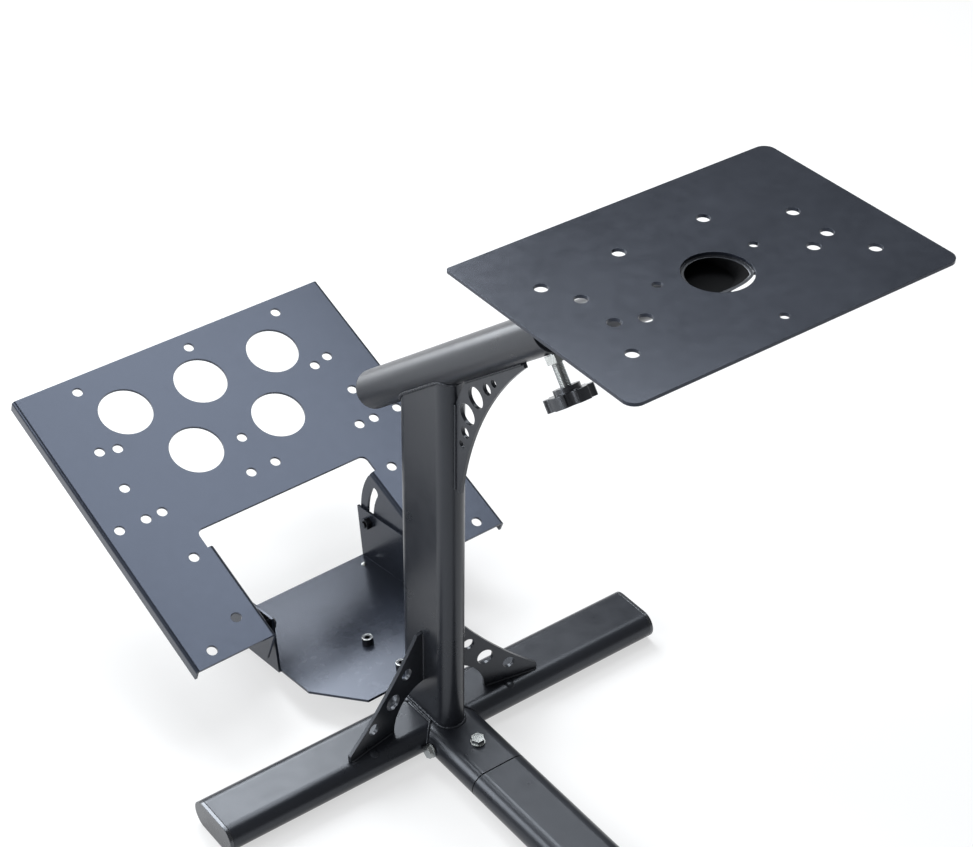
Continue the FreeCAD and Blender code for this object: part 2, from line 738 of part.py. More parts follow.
# Pedal base: sloping sheet with two upright flanges
put("base_out", "=base_half + sheet")
put("base_nose", 60)
put("base_chin", 58)
put("flange_from", 112)
put("screw_a", 21)
put("screw_b", 85)
put("screw_clear", 4.3)
put("pivot_hole", "=pivot_rad + pin_play")
doc.recompute()
base = new_body("pedal_base_plain")
sketch = new_sketch(base, "pedal_base_outline")
add_loop(sketch, [
    ("-base_nose", "0"), ("base_nose", "0"), ("base_half", "base_chin"), ("base_half", "flange_from"),
    ("base_out", "flange_from"), ("base_out", "base_long"), ("-base_out", "base_long"),
    ("-base_out", "flange_from"), ("-base_half", "flange_from"), ("-base_half", "base_chin"),
])
pad(base, sketch, "pedal_base_sheet", "sheet")
for mark, label in (("-", "left"), ("", "right")):
    wall = new_sketch(base, "pedal_base_wall_" + label)
    add_loop(wall, [
        (mark + "base_half", "flange_from"), (mark + "base_out", "flange_from"),
        (mark + "base_out", "base_long"), (mark + "base_half", "base_long"),
    ])
    pad(base, wall, "pedal_base_flange_" + label, "flange_high")
drill = new_sketch(base, "pedal_base_screw_holes")
add_circle(drill, "0", "screw_a", "screw_clear")
add_circle(drill, "0", "screw_b", "screw_clear")
pocket(base, drill, "pedal_base_drilled")
BASE_TURN = turn(X_AXIS, -value("base_slope"))
moved(base, FreeCAD.Placement(HERE, BASE_TURN), {"y": "dims.base_y", "z": "dims.tube_high + dims.weld_gap"})

put("rod_long", 300)
doc.recompute()
ACROSS = turn(Y_AXIS, 90)
ACROSS_BACK = turn(Y_AXIS, -90)


def across_bar(name, radius_word, y_formula, z_formula):
    """Round cutter right across the pedal unit."""
    return round_bar(name, radius_word, "rod_long", FreeCAD.Placement(HERE, ACROSS),
                     {"x": "-dims.rod_long / 2", "y": y_formula, "z": z_formula})


lock_y = "dims.pivot_y + dims.slot_rad * cos(dims.lock_drop * 1deg)"
lock_z = "dims.pivot_z - dims.slot_rad * sin(dims.lock_drop * 1deg)"
base_holes = fuse("pedal_base_rods", [
    across_bar("pedal_base_pivot", "pivot_hole", "dims.pivot_y", "dims.pivot_z"),
    across_bar("pedal_base_lock", "pivot_hole", lock_y, lock_z),
])
keep_in_unit("pedal_base", cut("pedal_base", base, base_holes))

# Bracket under the base, closed on the end of the sleeve
put("tongue_half", 26)
put("tongue_wide", "=2 * tongue_half")
put("tongue_from", 1)
put("tongue_to", 120)
put("end_plate_tall", 25)
put("end_plate_y", "=sleeve_ahead + 1")
doc.recompute()
tongue_body = new_body("base_bracket_slope")
sketch = new_sketch(tongue_body, "base_bracket_outline")
add_loop(sketch, [
    ("-tongue_half", "tongue_from"), ("tongue_half", "tongue_from"),
    ("tongue_half", "tongue_to"), ("-tongue_half", "tongue_to"),
])
pad(tongue_body, sketch, "base_bracket_sheet", "sheet", reverse=True)
drill = new_sketch(tongue_body, "base_bracket_holes")
add_circle(drill, "0", "screw_a", "screw_clear")
add_circle(drill, "0", "screw_b", "screw_clear")
pocket(tongue_body, drill, "base_bracket_drilled")
moved(tongue_body, FreeCAD.Placement(HERE, BASE_TURN), {"y": "dims.base_y", "z": "dims.tube_high"})
end_plate = doc.addObject("Part::Box", "base_bracket_end")
end_plate.setExpression("Length", "dims.tongue_wide")
end_plate.setExpression("Width", "dims.sheet")
end_plate.setExpression("Height", "dims.end_plate_tall")
end_plate.setExpression("Placement.Base.x", "-dims.tongue_half")
end_plate.setExpression("Placement.Base.y", "dims.end_plate_y")
end_plate.setExpression("Placement.Base.z", "dims.tube_high - dims.end_plate_tall - dims.sheet / 2")
keep_in_unit("base_bracket", fuse("base_bracket", [tongue_body, end_plate]))

# Base screws with nuts, drawn along the base's normal
put("head_rad", 6.5)
put("head_high", 8)
put("shank_rad", 4)
put("shank_long", 17)
put("hex_nut_high", 6.5)
put("hex_nut_flats", 13)
put("hex_nut_corner", "=hex_nut_flats / 2 / cos(30deg)")
put("drive_rad", 3.2)
put("drive_deep", 4.5)
doc.recompute()


def on_base(along, up):
    """Base formulas of a point on the pedal base, along it and up from its underside."""
    slope = "dims.base_slope"
    y = "dims.base_y + (" + along + ") * cos(" + slope + ") + (" + up + ") * sin(" + slope + ")"
    z = ("dims.tube_high + dims.weld_gap - (" + along + ") * sin(" + slope + ")"
         + " + (" + up + ") * cos(" + slope + ")")
    return in_unit("0", y, z)


def cap_screw(name, place, words):
    """Socket head screw, head above local z = 0 and shank below."""
    body = new_body(name + "_plain")
    head = new_sketch(body, name + "_head_outline")
    add_circle(head, "0", "0", "head_rad")
    pad(body, head, name + "_head", "head_high")
    shank = new_sketch(body, name + "_shank_outline")
    add_circle(shank, "0", "0", "shank_rad")
    pad(body, shank, name + "_shank", "shank_long", reverse=True)
    drive = doc.addObject("Part::Prism", name + "_drive")
    drive.Polygon = 6
    drive.setExpression("Circumradius", "dims.drive_rad")
    drive.setExpression("Height", "dims.drive_deep")
    moved(drive, FreeCAD.Placement(HERE, FreeCAD.Rotation()), {"z": "dims.head_high - dims.drive_deep"})
    shaped = cut(name, body, drive)
    moved(shaped, place, words)
    keep(name, shaped)


def hex_nut(name, place, words):
    """Plain hex nut around a screw."""
    blank = doc.addObject("Part::Prism", name + "_blank")
    blank.Polygon = 6
    blank.setExpression("Circumradius", "dims.hex_nut_corner")
    blank.setExpression("Height", "dims.hex_nut_high")
    bore = round_bar(name + "_bore", "screw_clear", "hex_nut_high",
                     FreeCAD.Placement(HERE, FreeCAD.Rotation()), {})
    shaped = cut(name, blank, bore)
    moved(shaped, place, words)
    keep(name, shaped)


SCREW_TURN = UNIT_TURN.multiply(BASE_TURN)
for name, along in (("front", "screw_a"), ("rear", "screw_b")):
    cap_screw("base_screw_" + name, FreeCAD.Placement(HERE, SCREW_TURN),
              on_base("dims." + along, "dims.sheet + dims.weld_gap"))
    hex_nut("base_nut_" + name, FreeCAD.Placement(HERE, SCREW_TURN),
            on_base("dims." + along, "-dims.sheet - 2 * dims.weld_gap - dims.hex_nut_high"))

# Rubber pads under the far corners of the base
put("base_pad_rad", 9)
put("base_pad_u", 88)
put("base_pad_at", 216)
put("base_pad_tall", "=tube_high - base_pad_at * sin(base_slope) - base_pad_rad * tan(base_slope)")
doc.recompute()
for label, sign_word in (("left", "-"), ("right", "")):
    foot_pad = round_bar("base_pad_" + label, "base_pad_rad", "base_pad_tall",
                         FreeCAD.Placement(HERE, FreeCAD.Rotation()),
                         in_unit(sign_word + "dims.base_pad_u",
                                 "dims.base_y + dims.base_pad_at * cos(dims.base_slope)", "0"))
    keep("base_pad_" + label, foot_pad)

# Pedal plate: sloping sheet with side lips, folded leg edges and slotted ears
put("pedal_half", "=pedal_wide / 2")
put("pedal_in", "=pedal_half - sheet")
put("lip_from", "=pedal_half - bend")
put("bend_in", "=bend - sheet")
doc.recompute()
tray = new_body("pedal_plate_sheet")
sketch = new_sketch(tray, "pedal_plate_section", "XZ_Plane")
add_loop(sketch, [
    ("-pedal_half", "-lip_deep"), ("-pedal_in", "-lip_deep"),
    ("-pedal_in", "-bend", "bend_in", -1), ("-lip_from", "-sheet"),
    ("lip_from", "-sheet", "bend_in", -1), ("pedal_in", "-bend"),
    ("pedal_in", "-lip_deep"), ("pedal_half", "-lip_deep"),
    ("pedal_half", "-bend", "bend", 1), ("lip_from", "0"),
    ("-lip_from", "0", "bend", 1), ("-pedal_half", "-bend"),
])
pad(tray, sketch, "pedal_plate_fold", "pedal_long", reverse=True)
put("ph_ax", 134.9)
put("ph_ay", 374.1)
put("ph_bx", 13.3)
put("ph_cx", 154.6)
put("ph_cy", 291.4)
put("ph_dx", 134)
put("ph_dy", 286.6)
put("ph_ex", 154.7)
put("ph_ey", 236.9)
put("ph_fy", 191.2)
put("ph_gx", 188.2)
put("ph_hx", 16.3)
put("ph_jy", 124.2)
put("ph_ky", 37.8)
put("ph_lx", 178.9)
put("ph_ly", 15.2)
put("lh_ay", 326.7)
put("lh_ax", 99.9)
put("lh_by", 245.8)
put("lh_bx", 55.5)
put("fold_out", "=notch_in + fold_rad")
put("fold_lap", "=fold_out + 1.5")
put("fold_in", "=fold_rad - sheet")
put("fold_back", "=notch_in + sheet")
put("strip_deep", 52)
put("strip_short", 20)
put("relief_round_x", "=notch_relief - notch_round")
put("relief_round_y", "=notch_long - notch_round")
doc.recompute()
sketch = new_sketch(tray, "pedal_plate_cuts")
add_loop(sketch, [
    ("-fold_out", "-sheet"), ("fold_out", "-sheet"),
    ("fold_out", "relief_from"), ("notch_relief", "relief_from"),
    ("notch_relief", "relief_round_y", "notch_round", 1), ("relief_round_x", "notch_long"),
    ("-relief_round_x", "notch_long", "notch_round", 1), ("-notch_relief", "relief_round_y"),
    ("-notch_relief", "relief_from"), ("-fold_out", "relief_from"),
])
for x_word, y_word in (("-lh_ax", "lh_ay"), ("0", "lh_ay"), ("lh_ax", "lh_ay"),
                       ("-lh_bx", "lh_by"), ("lh_bx", "lh_by")):
    add_circle(sketch, x_word, y_word, "large_hole")
for x_word, y_word in (("-ph_ax", "ph_ay"), ("ph_bx", "ph_ay"), ("ph_ax", "ph_ay"),
                       ("-ph_cx", "ph_cy"), ("ph_cx", "ph_cy"), ("-ph_dx", "ph_dy"), ("ph_dx", "ph_dy"),
                       ("-ph_ex", "ph_ey"), ("0", "ph_ey"), ("ph_ex", "ph_ey"),
                       ("-ph_gx", "ph_fy"), ("-ph_cx", "ph_fy"), ("-ph_dx", "ph_fy"), ("-ph_hx", "ph_fy"),
                       ("ph_hx", "ph_fy"), ("ph_dx", "ph_fy"), ("ph_cx", "ph_fy"), ("ph_gx", "ph_fy"),
                       ("-ph_dx", "ph_jy"), ("ph_dx", "ph_jy"), ("-ph_dx", "ph_ky"), ("ph_dx", "ph_ky"),
                       ("-ph_lx", "ph_ly"), ("ph_lx", "ph_ly")):
    add_circle(sketch, x_word, y_word, "pedal_hole")
pocket(tray, sketch, "pedal_plate_cut")
PEDAL_TURN = turn(X_AXIS, value("pedal_slope"))
PEDAL_SIDE = PEDAL_TURN.multiply(ALONG_X)
moved(tray, FreeCAD.Placement(HERE, PEDAL_TURN), {"y": "dims.pedal_y", "z": "dims.pedal_z"})

# The ear's outline in the plate's own slope, about the pivot's place in that slope
put("rise_y", "=pivot_y - pedal_y")
put("rise_z", "=pedal_z - pivot_z")
put("piv_v", "=rise_y * cos(pedal_slope * 1deg) - rise_z * sin(pedal_slope * 1deg)")
put("piv_w", "=rise_y * sin(pedal_slope * 1deg) + rise_z * cos(pedal_slope * 1deg)")
put("ear_top_w", 8)
put("ear_reach", "=sqrt(ear_rad * ear_rad - (piv_w - ear_top_w) * (piv_w - ear_top_w))")
put("ear_top_v", "=piv_v + ear_reach")
put("ear_end_v", "=piv_v + ear_rad * cos(ear_low * 1deg)")
put("ear_end_w", "=piv_w + ear_rad * sin(ear_low * 1deg)")
doc.recompute()


def pedal_side(label, sign):
    """Folded inner edge of one leg and the slotted ear below it."""
    mark = "-" if sign < 0 else ""
    edge = new_body("pedal_edge_" + label)
    section = new_sketch(edge, "pedal_edge_section_" + label, "XZ_Plane")
    add_loop(section, [
        (mark + "fold_lap", "0"), (mark + "fold_out", "0", "fold_rad", sign),
        (mark + "notch_in", "-fold_rad"), (mark + "notch_in", "-strip_short"),
        (mark + "fold_back", "-strip_short"), (mark + "fold_back", "-fold_rad", "fold_in", -sign),
        (mark + "fold_out", "-sheet"), (mark + "fold_lap", "-sheet"),
    ])
    pad(edge, section, "pedal_edge_run_" + label, "relief_from", reverse=True)
    moved(edge, FreeCAD.Placement(HERE, PEDAL_TURN), {"y": "dims.pedal_y", "z": "dims.pedal_z"})
    ear = new_body("pedal_ear_" + label)
    outline = new_sketch(ear, "pedal_ear_outline_" + label)
    add_loop(outline, [
        ("0", "-ear_top_w"), ("0", "-strip_deep"), ("ear_end_v", "-ear_end_w", "ear_rad", 1),
        ("ear_top_v", "-ear_top_w"),
    ])
    pad(ear, outline, "pedal_ear_sheet_" + label, "sheet")
    x_low = "dims.notch_in" if sign > 0 else "-dims.fold_back"
    moved(ear, FreeCAD.Placement(HERE, PEDAL_SIDE), {"x": x_low, "y": "dims.pedal_y", "z": "dims.pedal_z"})
    return [edge, ear]


whole = fuse("pedal_plate_whole", [tray] + pedal_side("left", -1) + pedal_side("right", 1))


def slot_bar(name):
    """Curved slot cutter: ring part about the pivot with round ends."""
    ring_out = doc.addObject("Part::Cylinder", name + "_outer")
    ring_out.setExpression("Radius", "dims.slot_rad + dims.slot_half")
    ring_out.setExpression("Height", "dims.rod_long")
    ring_out.setExpression("Angle", "dims.slot_sweep")
    ring_in = doc.addObject("Part::Cylinder", name + "_inner")
    ring_in.setExpression("Radius", "dims.slot_rad - dims.slot_half")
    ring_in.setExpression("Height", "dims.rod_long")
    pieces = [cut(name + "_ring", ring_out, ring_in)]
    for label, angle in (("start", "0deg"), ("stop", "dims.slot_sweep * 1deg")):
        end = doc.addObject("Part::Cylinder", name + "_" + label)
        end.setExpression("Radius", "dims.slot_half")
        end.setExpression("Height", "dims.rod_long")
        end.setExpression("Placement.Base.x", "dims.slot_rad * cos(" + angle + ")")
        end.setExpression("Placement.Base.y", "dims.slot_rad * sin(" + angle + ")")
        pieces.append(end)
    joined = fuse(name, pieces)
    start = ALONG_X.multiply(turn(Z_AXIS, value("slot_start")))
    moved(joined, FreeCAD.Placement(HERE, start),
          {"x": "-dims.rod_long / 2", "y": "dims.pivot_y", "z": "dims.pivot_z"})
    return joined


put("pivot_bore", "=pivot_rad + pivot_fit")
doc.recompute()
pedal_holes = fuse("pedal_plate_openings", [
    slot_bar("pedal_slot"),
    across_bar("pedal_plate_pivot", "pivot_bore", "dims.pivot_y", "dims.pivot_z"),
])
keep_in_unit("pedal_plate", cut("pedal_plate", whole, pedal_holes), "-dims.tray_shift")

# Pivot and lock bolts, nuts inside the base flanges, collars filling the gap on the left
put("bolt_in", 90)
put("bolt_head", 6)
put("washer_gap", 1)
put("head_right", "=fold_back - tray_shift + washer_gap")
put("head_left", "=fold_back + tray_shift + washer_gap")
put("shank_right", "=head_right - bolt_in")
put("shank_left", "=head_left - bolt_in")
put("collar_rad", 7)
put("collar_from", "=base_out + weld_gap")
put("collar_long", "=notch_in + tray_shift - weld_gap - collar_from")
put("side_nut_at", "=base_half - weld_gap - hex_nut_high")
put("side_nut_left", "=base_half - weld_gap")
doc.recompute()


def side_bolt(name, label, y_formula, z_formula):
    """Hex head bolt across one ear and one base flange."""
    right = label == "right"
    rotation = ACROSS if right else ACROSS_BACK
    mark = "" if right else "-"
    shank = round_bar(name + "_shank", "pivot_rad", "shank_" + label, FreeCAD.Placement(HERE, rotation),
                      {"x": mark + "dims.bolt_in", "y": y_formula, "z": z_formula})
    head = doc.addObject("Part::Prism", name + "_head")
    head.Polygon = 6
    head.setExpression("Circumradius", "dims.hex_nut_corner")
    head.setExpression("Height", "dims.bolt_head")
    moved(head, FreeCAD.Placement(HERE, rotation),
          {"x": mark + "dims.head_" + label, "y": y_formula, "z": z_formula})
    pieces = [shank, head]
    if not right:
        pieces.append(round_bar(name + "_collar", "collar_rad", "collar_long",
                                FreeCAD.Placement(HERE, rotation),
                                {"x": "-dims.collar_from", "y": y_formula, "z": z_formula}))
    keep_in_unit(name, fuse(name, pieces))


for label in ("left", "right"):
    side_bolt("pivot_bolt_" + label, label, "dims.pivot_y", "dims.pivot_z")
    side_bolt("lock_bolt_" + label, label, lock_y, lock_z)
    nut_x = "dims.side_nut_at" if label == "right" else "-dims.side_nut_left"
    for kind, y_formula, z_formula in (("pivot", "dims.pivot_y", "dims.pivot_z"), ("lock", lock_y, lock_z)):
        hex_nut(kind + "_nut_" + label, FreeCAD.Placement(HERE, UNIT_TURN.multiply(ACROSS)),
                in_unit(nut_x, y_formula, z_formula))

# Hex screw heads on the sleeve, each with its washer: one on its side and one on top
put("washer_rad", 8)
put("washer_thick", 1.6)
put("sleeve_head", 5)
put("side_head_y", 43.5)
put("side_head_z", 17)
put("top_head_y", 75)
doc.recompute()


def sleeve_head(name, rotation, words):
    """Hex head on a round washer."""
    washer = doc.addObject("Part::Cylinder", name + "_washer")
    washer.setExpression("Radius", "dims.washer_rad")
    washer.setExpression("Height", "dims.washer_thick")
    head = doc.addObject("Part::Prism", name + "_hex")
    head.Polygon = 6
    head.setExpression("Circumradius", "dims.hex_nut_corner")
    head.setExpression("Height", "dims.washer_thick + dims.sleeve_head")
    joined = fuse(name, [washer, head])
    moved(joined, FreeCAD.Placement(HERE, rotation), words)
    keep(name, joined)


sleeve_head("sleeve_side_screw", ACROSS_BACK,
            {"x": "-dims.tube_wide / 2 - dims.weld_gap", "y": "-dims.side_head_y", "z": "dims.side_head_z"})
sleeve_head("sleeve_top_screw", FreeCAD.Rotation(),
            {"x": "2", "y": "-dims.top_head_y", "z": "dims.tube_high + dims.weld_gap"})

doc.recompute()

bad = []
for obj in doc.Objects:
    for state in obj.State:
        if state in ("Invalid", "Error"):
            bad.append(obj.Name + " " + state)
for name, obj in finished.items():
    shape = obj.Shape
    if shape.isNull() or not shape.isValid() or len(shape.Solids) != 1:
        bad.append(name + " shape: solids " + str(0 if shape.isNull() else len(shape.Solids)))
if bad:
    raise RuntimeError("; ".join(bad))
for name, obj in finished.items():
    obj.Shape.exportStep("parts/" + name + ".step")
print("pieces", len(finished))
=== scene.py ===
"""Finishes, weld beads, threads and small hardware of a sim racing wheel and pedal frame."""
from __future__ import annotations

import logging
import math
from dataclasses import dataclass, field
from enum import Enum
from typing import Callable, Iterable, Sequence

import bmesh
import bpy
from mathutils import Matrix, Vector

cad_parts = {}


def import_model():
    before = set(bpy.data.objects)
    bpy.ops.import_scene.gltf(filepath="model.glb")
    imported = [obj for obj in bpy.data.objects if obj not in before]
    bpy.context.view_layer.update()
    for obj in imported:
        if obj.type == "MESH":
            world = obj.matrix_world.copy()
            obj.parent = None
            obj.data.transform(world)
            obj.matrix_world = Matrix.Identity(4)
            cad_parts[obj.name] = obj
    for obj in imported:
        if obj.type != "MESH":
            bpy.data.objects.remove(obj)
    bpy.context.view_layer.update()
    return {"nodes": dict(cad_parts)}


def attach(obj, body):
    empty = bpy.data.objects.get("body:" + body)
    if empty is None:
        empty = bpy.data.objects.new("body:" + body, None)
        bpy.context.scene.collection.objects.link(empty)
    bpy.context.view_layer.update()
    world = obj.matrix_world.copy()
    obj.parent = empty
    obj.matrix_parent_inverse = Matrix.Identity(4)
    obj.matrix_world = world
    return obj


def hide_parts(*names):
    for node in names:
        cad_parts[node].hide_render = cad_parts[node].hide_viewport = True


LOG = logging.getLogger("cockpit")
MM = 0.001
SAME = 1e-6
Point = tuple[float, float, float]
Profile = tuple[tuple[float, float], ...]


class Body(Enum):
    """The bodies that pieces ride on."""

    FRAME = "frame"
    CARRIAGE = "wheel_carriage"
    CLAMP = "clamp_screw"


class Slot(Enum):
    """The record's material slots that the new pieces take their finish from."""

    COAT = "coated_steel"
    ZINC = "zinc"


class Grain(Enum):
    """How the finest relief of a finish is laid out."""

    POWDER = "powder"
    MOULDED = "moulded"
    PLATED = "plated"


@dataclass(frozen=True)
class Finish:
    """One finish, built as a procedural material on object coordinates."""

    name: str
    colour: Point
    worn: Point
    roughness: tuple[float, float]
    grain: Grain = Grain.POWDER
    metallic: float = 0.0
    gloss: float = 0.5
    reflect: Point = (0.86, 0.91, 1.0)
    cloud_scale: float = 9.0
    grain_scale: float = 1500.0
    grain_height: float = 0.00006
    edge: float = 0.0006
    peel_coarser: float = 22.0
    peel_deeper: float = 3.0
    peel_strength: float = 0.35
    grain_strength: float = 0.5

    def material(self) -> bpy.types.Material:
        """Builds the node tree.

        Returns:
            The finished material.
        """
        made = bpy.data.materials.new(self.name)
        made.use_nodes = True
        tree = made.node_tree
        tree.nodes.clear()
        out = tree.nodes.new("ShaderNodeOutputMaterial")
        shader = tree.nodes.new("ShaderNodeBsdfPrincipled")
        tree.links.new(shader.outputs["BSDF"], out.inputs["Surface"])
        shader.inputs["Metallic"].default_value = self.metallic
        shader.inputs["Specular IOR Level"].default_value = self.gloss
        shader.inputs["Specular Tint"].default_value = (*self.reflect, 1.0)
        place = tree.nodes.new("ShaderNodeTexCoord").outputs["Object"]
        cloud = self._noise(tree, place, self.cloud_scale, 3.0)
        mid = self._noise(tree, place, self.grain_scale / self.peel_coarser, 2.0)
        self._link_colour(tree, cloud, mid, shader)
        self._link_roughness(tree, cloud, mid, shader)
        self._link_relief(tree, place, mid, shader)
        return made

    def _noise(self, tree: bpy.types.NodeTree, place: bpy.types.NodeSocket, scale: float,
               detail: float) -> bpy.types.NodeSocket:
        """Adds a noise texture.

        Args:
            tree: The material's node tree.
            place: The coordinates it reads.
            scale: Its scale per metre.
            detail: Its detail.

        Returns:
            The noise's factor socket.
        """
        noise = tree.nodes.new("ShaderNodeTexNoise")
        noise.inputs["Scale"].default_value = scale
        noise.inputs["Detail"].default_value = detail
        tree.links.new(place, noise.inputs["Vector"])
        return noise.outputs["Fac"]

    def _link_colour(self, tree: bpy.types.NodeTree, cloud: bpy.types.NodeSocket,
                     mid: bpy.types.NodeSocket, shader: bpy.types.Node) -> None:
        """Mixes the colour and its worn tone by two noises.

        Args:
            tree: The material's node tree.
            cloud: Slow noise.
            mid: Faster noise.
            shader: The shader whose colour is driven.
        """
        blend = tree.nodes.new("ShaderNodeMath")
        blend.operation = "MULTIPLY_ADD"
        tree.links.new(cloud, blend.inputs[0])
        blend.inputs[1].default_value = 0.7
        part = tree.nodes.new("ShaderNodeMath")
        part.operation = "MULTIPLY"
        tree.links.new(mid, part.inputs[0])
        part.inputs[1].default_value = 0.3
        tree.links.new(part.outputs[0], blend.inputs[2])
        ramp = tree.nodes.new("ShaderNodeValToRGB")
        ramp.color_ramp.elements[0].position = 0.3
        ramp.color_ramp.elements[0].color = (*self.colour, 1.0)
        ramp.color_ramp.elements[1].position = 0.72
        ramp.color_ramp.elements[1].color = (*self.worn, 1.0)
        tree.links.new(blend.outputs[0], ramp.inputs["Fac"])
        tree.links.new(ramp.outputs["Color"], shader.inputs["Base Color"])

    def _link_roughness(self, tree: bpy.types.NodeTree, cloud: bpy.types.NodeSocket,
                        mid: bpy.types.NodeSocket, shader: bpy.types.Node) -> None:
        """Spreads the roughness a little over the surface.

        Args:
            tree: The material's node tree.
            cloud: Slow noise.
            mid: Faster noise.
            shader: The shader whose roughness is driven.
        """
        both = tree.nodes.new("ShaderNodeMath")
        both.operation = "ADD"
        tree.links.new(cloud, both.inputs[0])
        tree.links.new(mid, both.inputs[1])
        spread = tree.nodes.new("ShaderNodeMapRange")
        spread.inputs["From Min"].default_value = 0.6
        spread.inputs["From Max"].default_value = 1.4
        spread.inputs["To Min"].default_value = self.roughness[0]
        spread.inputs["To Max"].default_value = self.roughness[1]
        tree.links.new(both.outputs[0], spread.inputs["Value"])
        tree.links.new(spread.outputs["Result"], shader.inputs["Roughness"])

    def _link_relief(self, tree: bpy.types.NodeTree, place: bpy.types.NodeSocket,
                     mid: bpy.types.NodeSocket, shader: bpy.types.Node) -> None:
        """Adds the soft edge and the fine relief.

        Args:
            tree: The material's node tree.
            place: The coordinates the relief reads.
            mid: Noise of the orange peel.
            shader: The shader whose normal is driven.
        """
        if self.grain is Grain.PLATED:
            stretch = tree.nodes.new("ShaderNodeMapping")
            stretch.inputs["Scale"].default_value = (1.0, 1.0, 0.15)
            tree.links.new(place, stretch.inputs["Vector"])
            place = stretch.outputs["Vector"]
        fine = self._noise(tree, place, self.grain_scale, 1.0 if self.grain is Grain.MOULDED else 2.0)
        soft = tree.nodes.new("ShaderNodeBevel")
        soft.samples = 4
        soft.inputs["Radius"].default_value = self.edge
        peel = tree.nodes.new("ShaderNodeBump")
        peel.inputs["Strength"].default_value = self.peel_strength
        peel.inputs["Distance"].default_value = self.grain_height * self.peel_deeper
        tree.links.new(mid, peel.inputs["Height"])
        tree.links.new(soft.outputs["Normal"], peel.inputs["Normal"])
        relief = tree.nodes.new("ShaderNodeBump")
        relief.inputs["Strength"].default_value = self.grain_strength
        relief.inputs["Distance"].default_value = self.grain_height
        tree.links.new(fine, relief.inputs["Height"])
        tree.links.new(peel.outputs["Normal"], relief.inputs["Normal"])
        tree.links.new(relief.outputs["Normal"], shader.inputs["Normal"])


POWDER = Finish("satin_powder_coat", (0.0125, 0.0140, 0.0180), (0.0185, 0.0200, 0.0250), (0.26, 0.34))
# Near-black matt finish for the plug inside the hood: painted shade, as if no light reached there.
PAINTED_SHADE = Finish("painted_shade_in_hood", (0.0030, 0.0030, 0.0032), (0.0045, 0.0045, 0.0048), (0.80, 0.90), gloss=0.1)
PLATE = Finish("smooth_plate_coat", (0.0140, 0.0165, 0.0230), (0.0200, 0.0230, 0.0310), (0.20, 0.26),
               reflect=(0.66, 0.76, 1.0), grain_scale=2100.0, grain_height=0.00002)
MOULDED = Finish("moulded_black_plastic", (0.013, 0.013, 0.014), (0.021, 0.021, 0.023),
                 (0.20, 0.30), Grain.MOULDED, gloss=1.0, grain_scale=900.0, edge=0.0012)
RUBBER = Finish("plain_rubber", (0.014, 0.014, 0.014), (0.024, 0.023, 0.022), (0.62, 0.78),
                Grain.MOULDED, grain_scale=700.0, edge=0.0008)
ZINC = Finish("bright_zinc", (0.34, 0.36, 0.36), (0.46, 0.47, 0.46), (0.20, 0.30), Grain.PLATED,
              metallic=1.0, cloud_scale=60.0, grain_scale=2600.0, grain_height=0.00002, edge=0.0004)
DARK = Finish("dark_oiled_steel", (0.035, 0.036, 0.040), (0.075, 0.076, 0.080), (0.28, 0.4),
              Grain.PLATED, metallic=0.9, cloud_scale=70.0, grain_scale=2200.0, grain_height=0.00002,
              edge=0.0005)
WELD = Finish("painted_weld", (0.0125, 0.0140, 0.0180), (0.0185, 0.0200, 0.0250), (0.28, 0.38),
              grain_scale=1800.0)


@dataclass
class Paintshop:
    """Gives every carried-over node and new piece its finish."""

    made: dict[str, bpy.types.Material] = field(default_factory=dict)

    def get(self, finish: Finish) -> bpy.types.Material:
        """Makes a finish's material once.

        Args:
            finish: The finish.

        Returns:
            Its material.
        """
        if finish.name not in self.made:
            self.made[finish.name] = finish.material()
        return self.made[finish.name]

    def dress(self, thing: bpy.types.Object, finish: Finish) -> None:
        """Puts one finish on the whole of an object.

        Args:
            thing: The object.
            finish: The finish.
        """
        thing.data.materials.clear()
        thing.data.materials.append(self.get(finish))

    def dress_nodes(self, nodes: dict[str, bpy.types.Object]) -> None:
        """Dresses the carried-over nodes by name.

        Args:
            nodes: The frame's nodes.
        """
        plates = {"wheel_plate", "pedal_plate", "pedal_base", "base_bracket"}
        moulded = {"arm_cap", "clamp_knob", "front_cap_left", "front_cap_right", "rear_cap_left",
                   "rear_cap_right"}
        bright = {"clamp_nut", "clamp_stud", "sleeve_side_screw", "sleeve_top_screw"}
        for name, node in nodes.items():
            if name in plates:
                finish = PLATE
            elif name in moulded:
                finish = MOULDED
            elif name in bright:
                finish = ZINC
            elif name.startswith("base_pad"):
                finish = RUBBER
            elif name.startswith(("base_screw", "base_nut", "pivot_", "lock_")):
                finish = DARK
            else:
                finish = POWDER
            self.dress(node, finish)
        LOG.info("dressed %d nodes", len(nodes))


def settle(thing: bpy.types.Object) -> bpy.types.Object:
    """Turns an object's modifiers into a plain mesh.

    Args:
        thing: The object with live modifiers.

    Returns:
        The same object with the result as its mesh.
    """
    graph = bpy.context.evaluated_depsgraph_get()
    mesh = bpy.data.meshes.new_from_object(thing.evaluated_get(graph), depsgraph=graph)
    thing.modifiers.clear()
    thing.data = mesh
    return thing


def new_object(name: str, mesh: bpy.types.Mesh) -> bpy.types.Object:
    """Links a mesh into the scene as an object at the origin.

    Args:
        name: The object's name.
        mesh: Its mesh.

    Returns:
        The object.
    """
    thing = bpy.data.objects.new(name, mesh)
    bpy.context.scene.collection.objects.link(thing)
    return thing


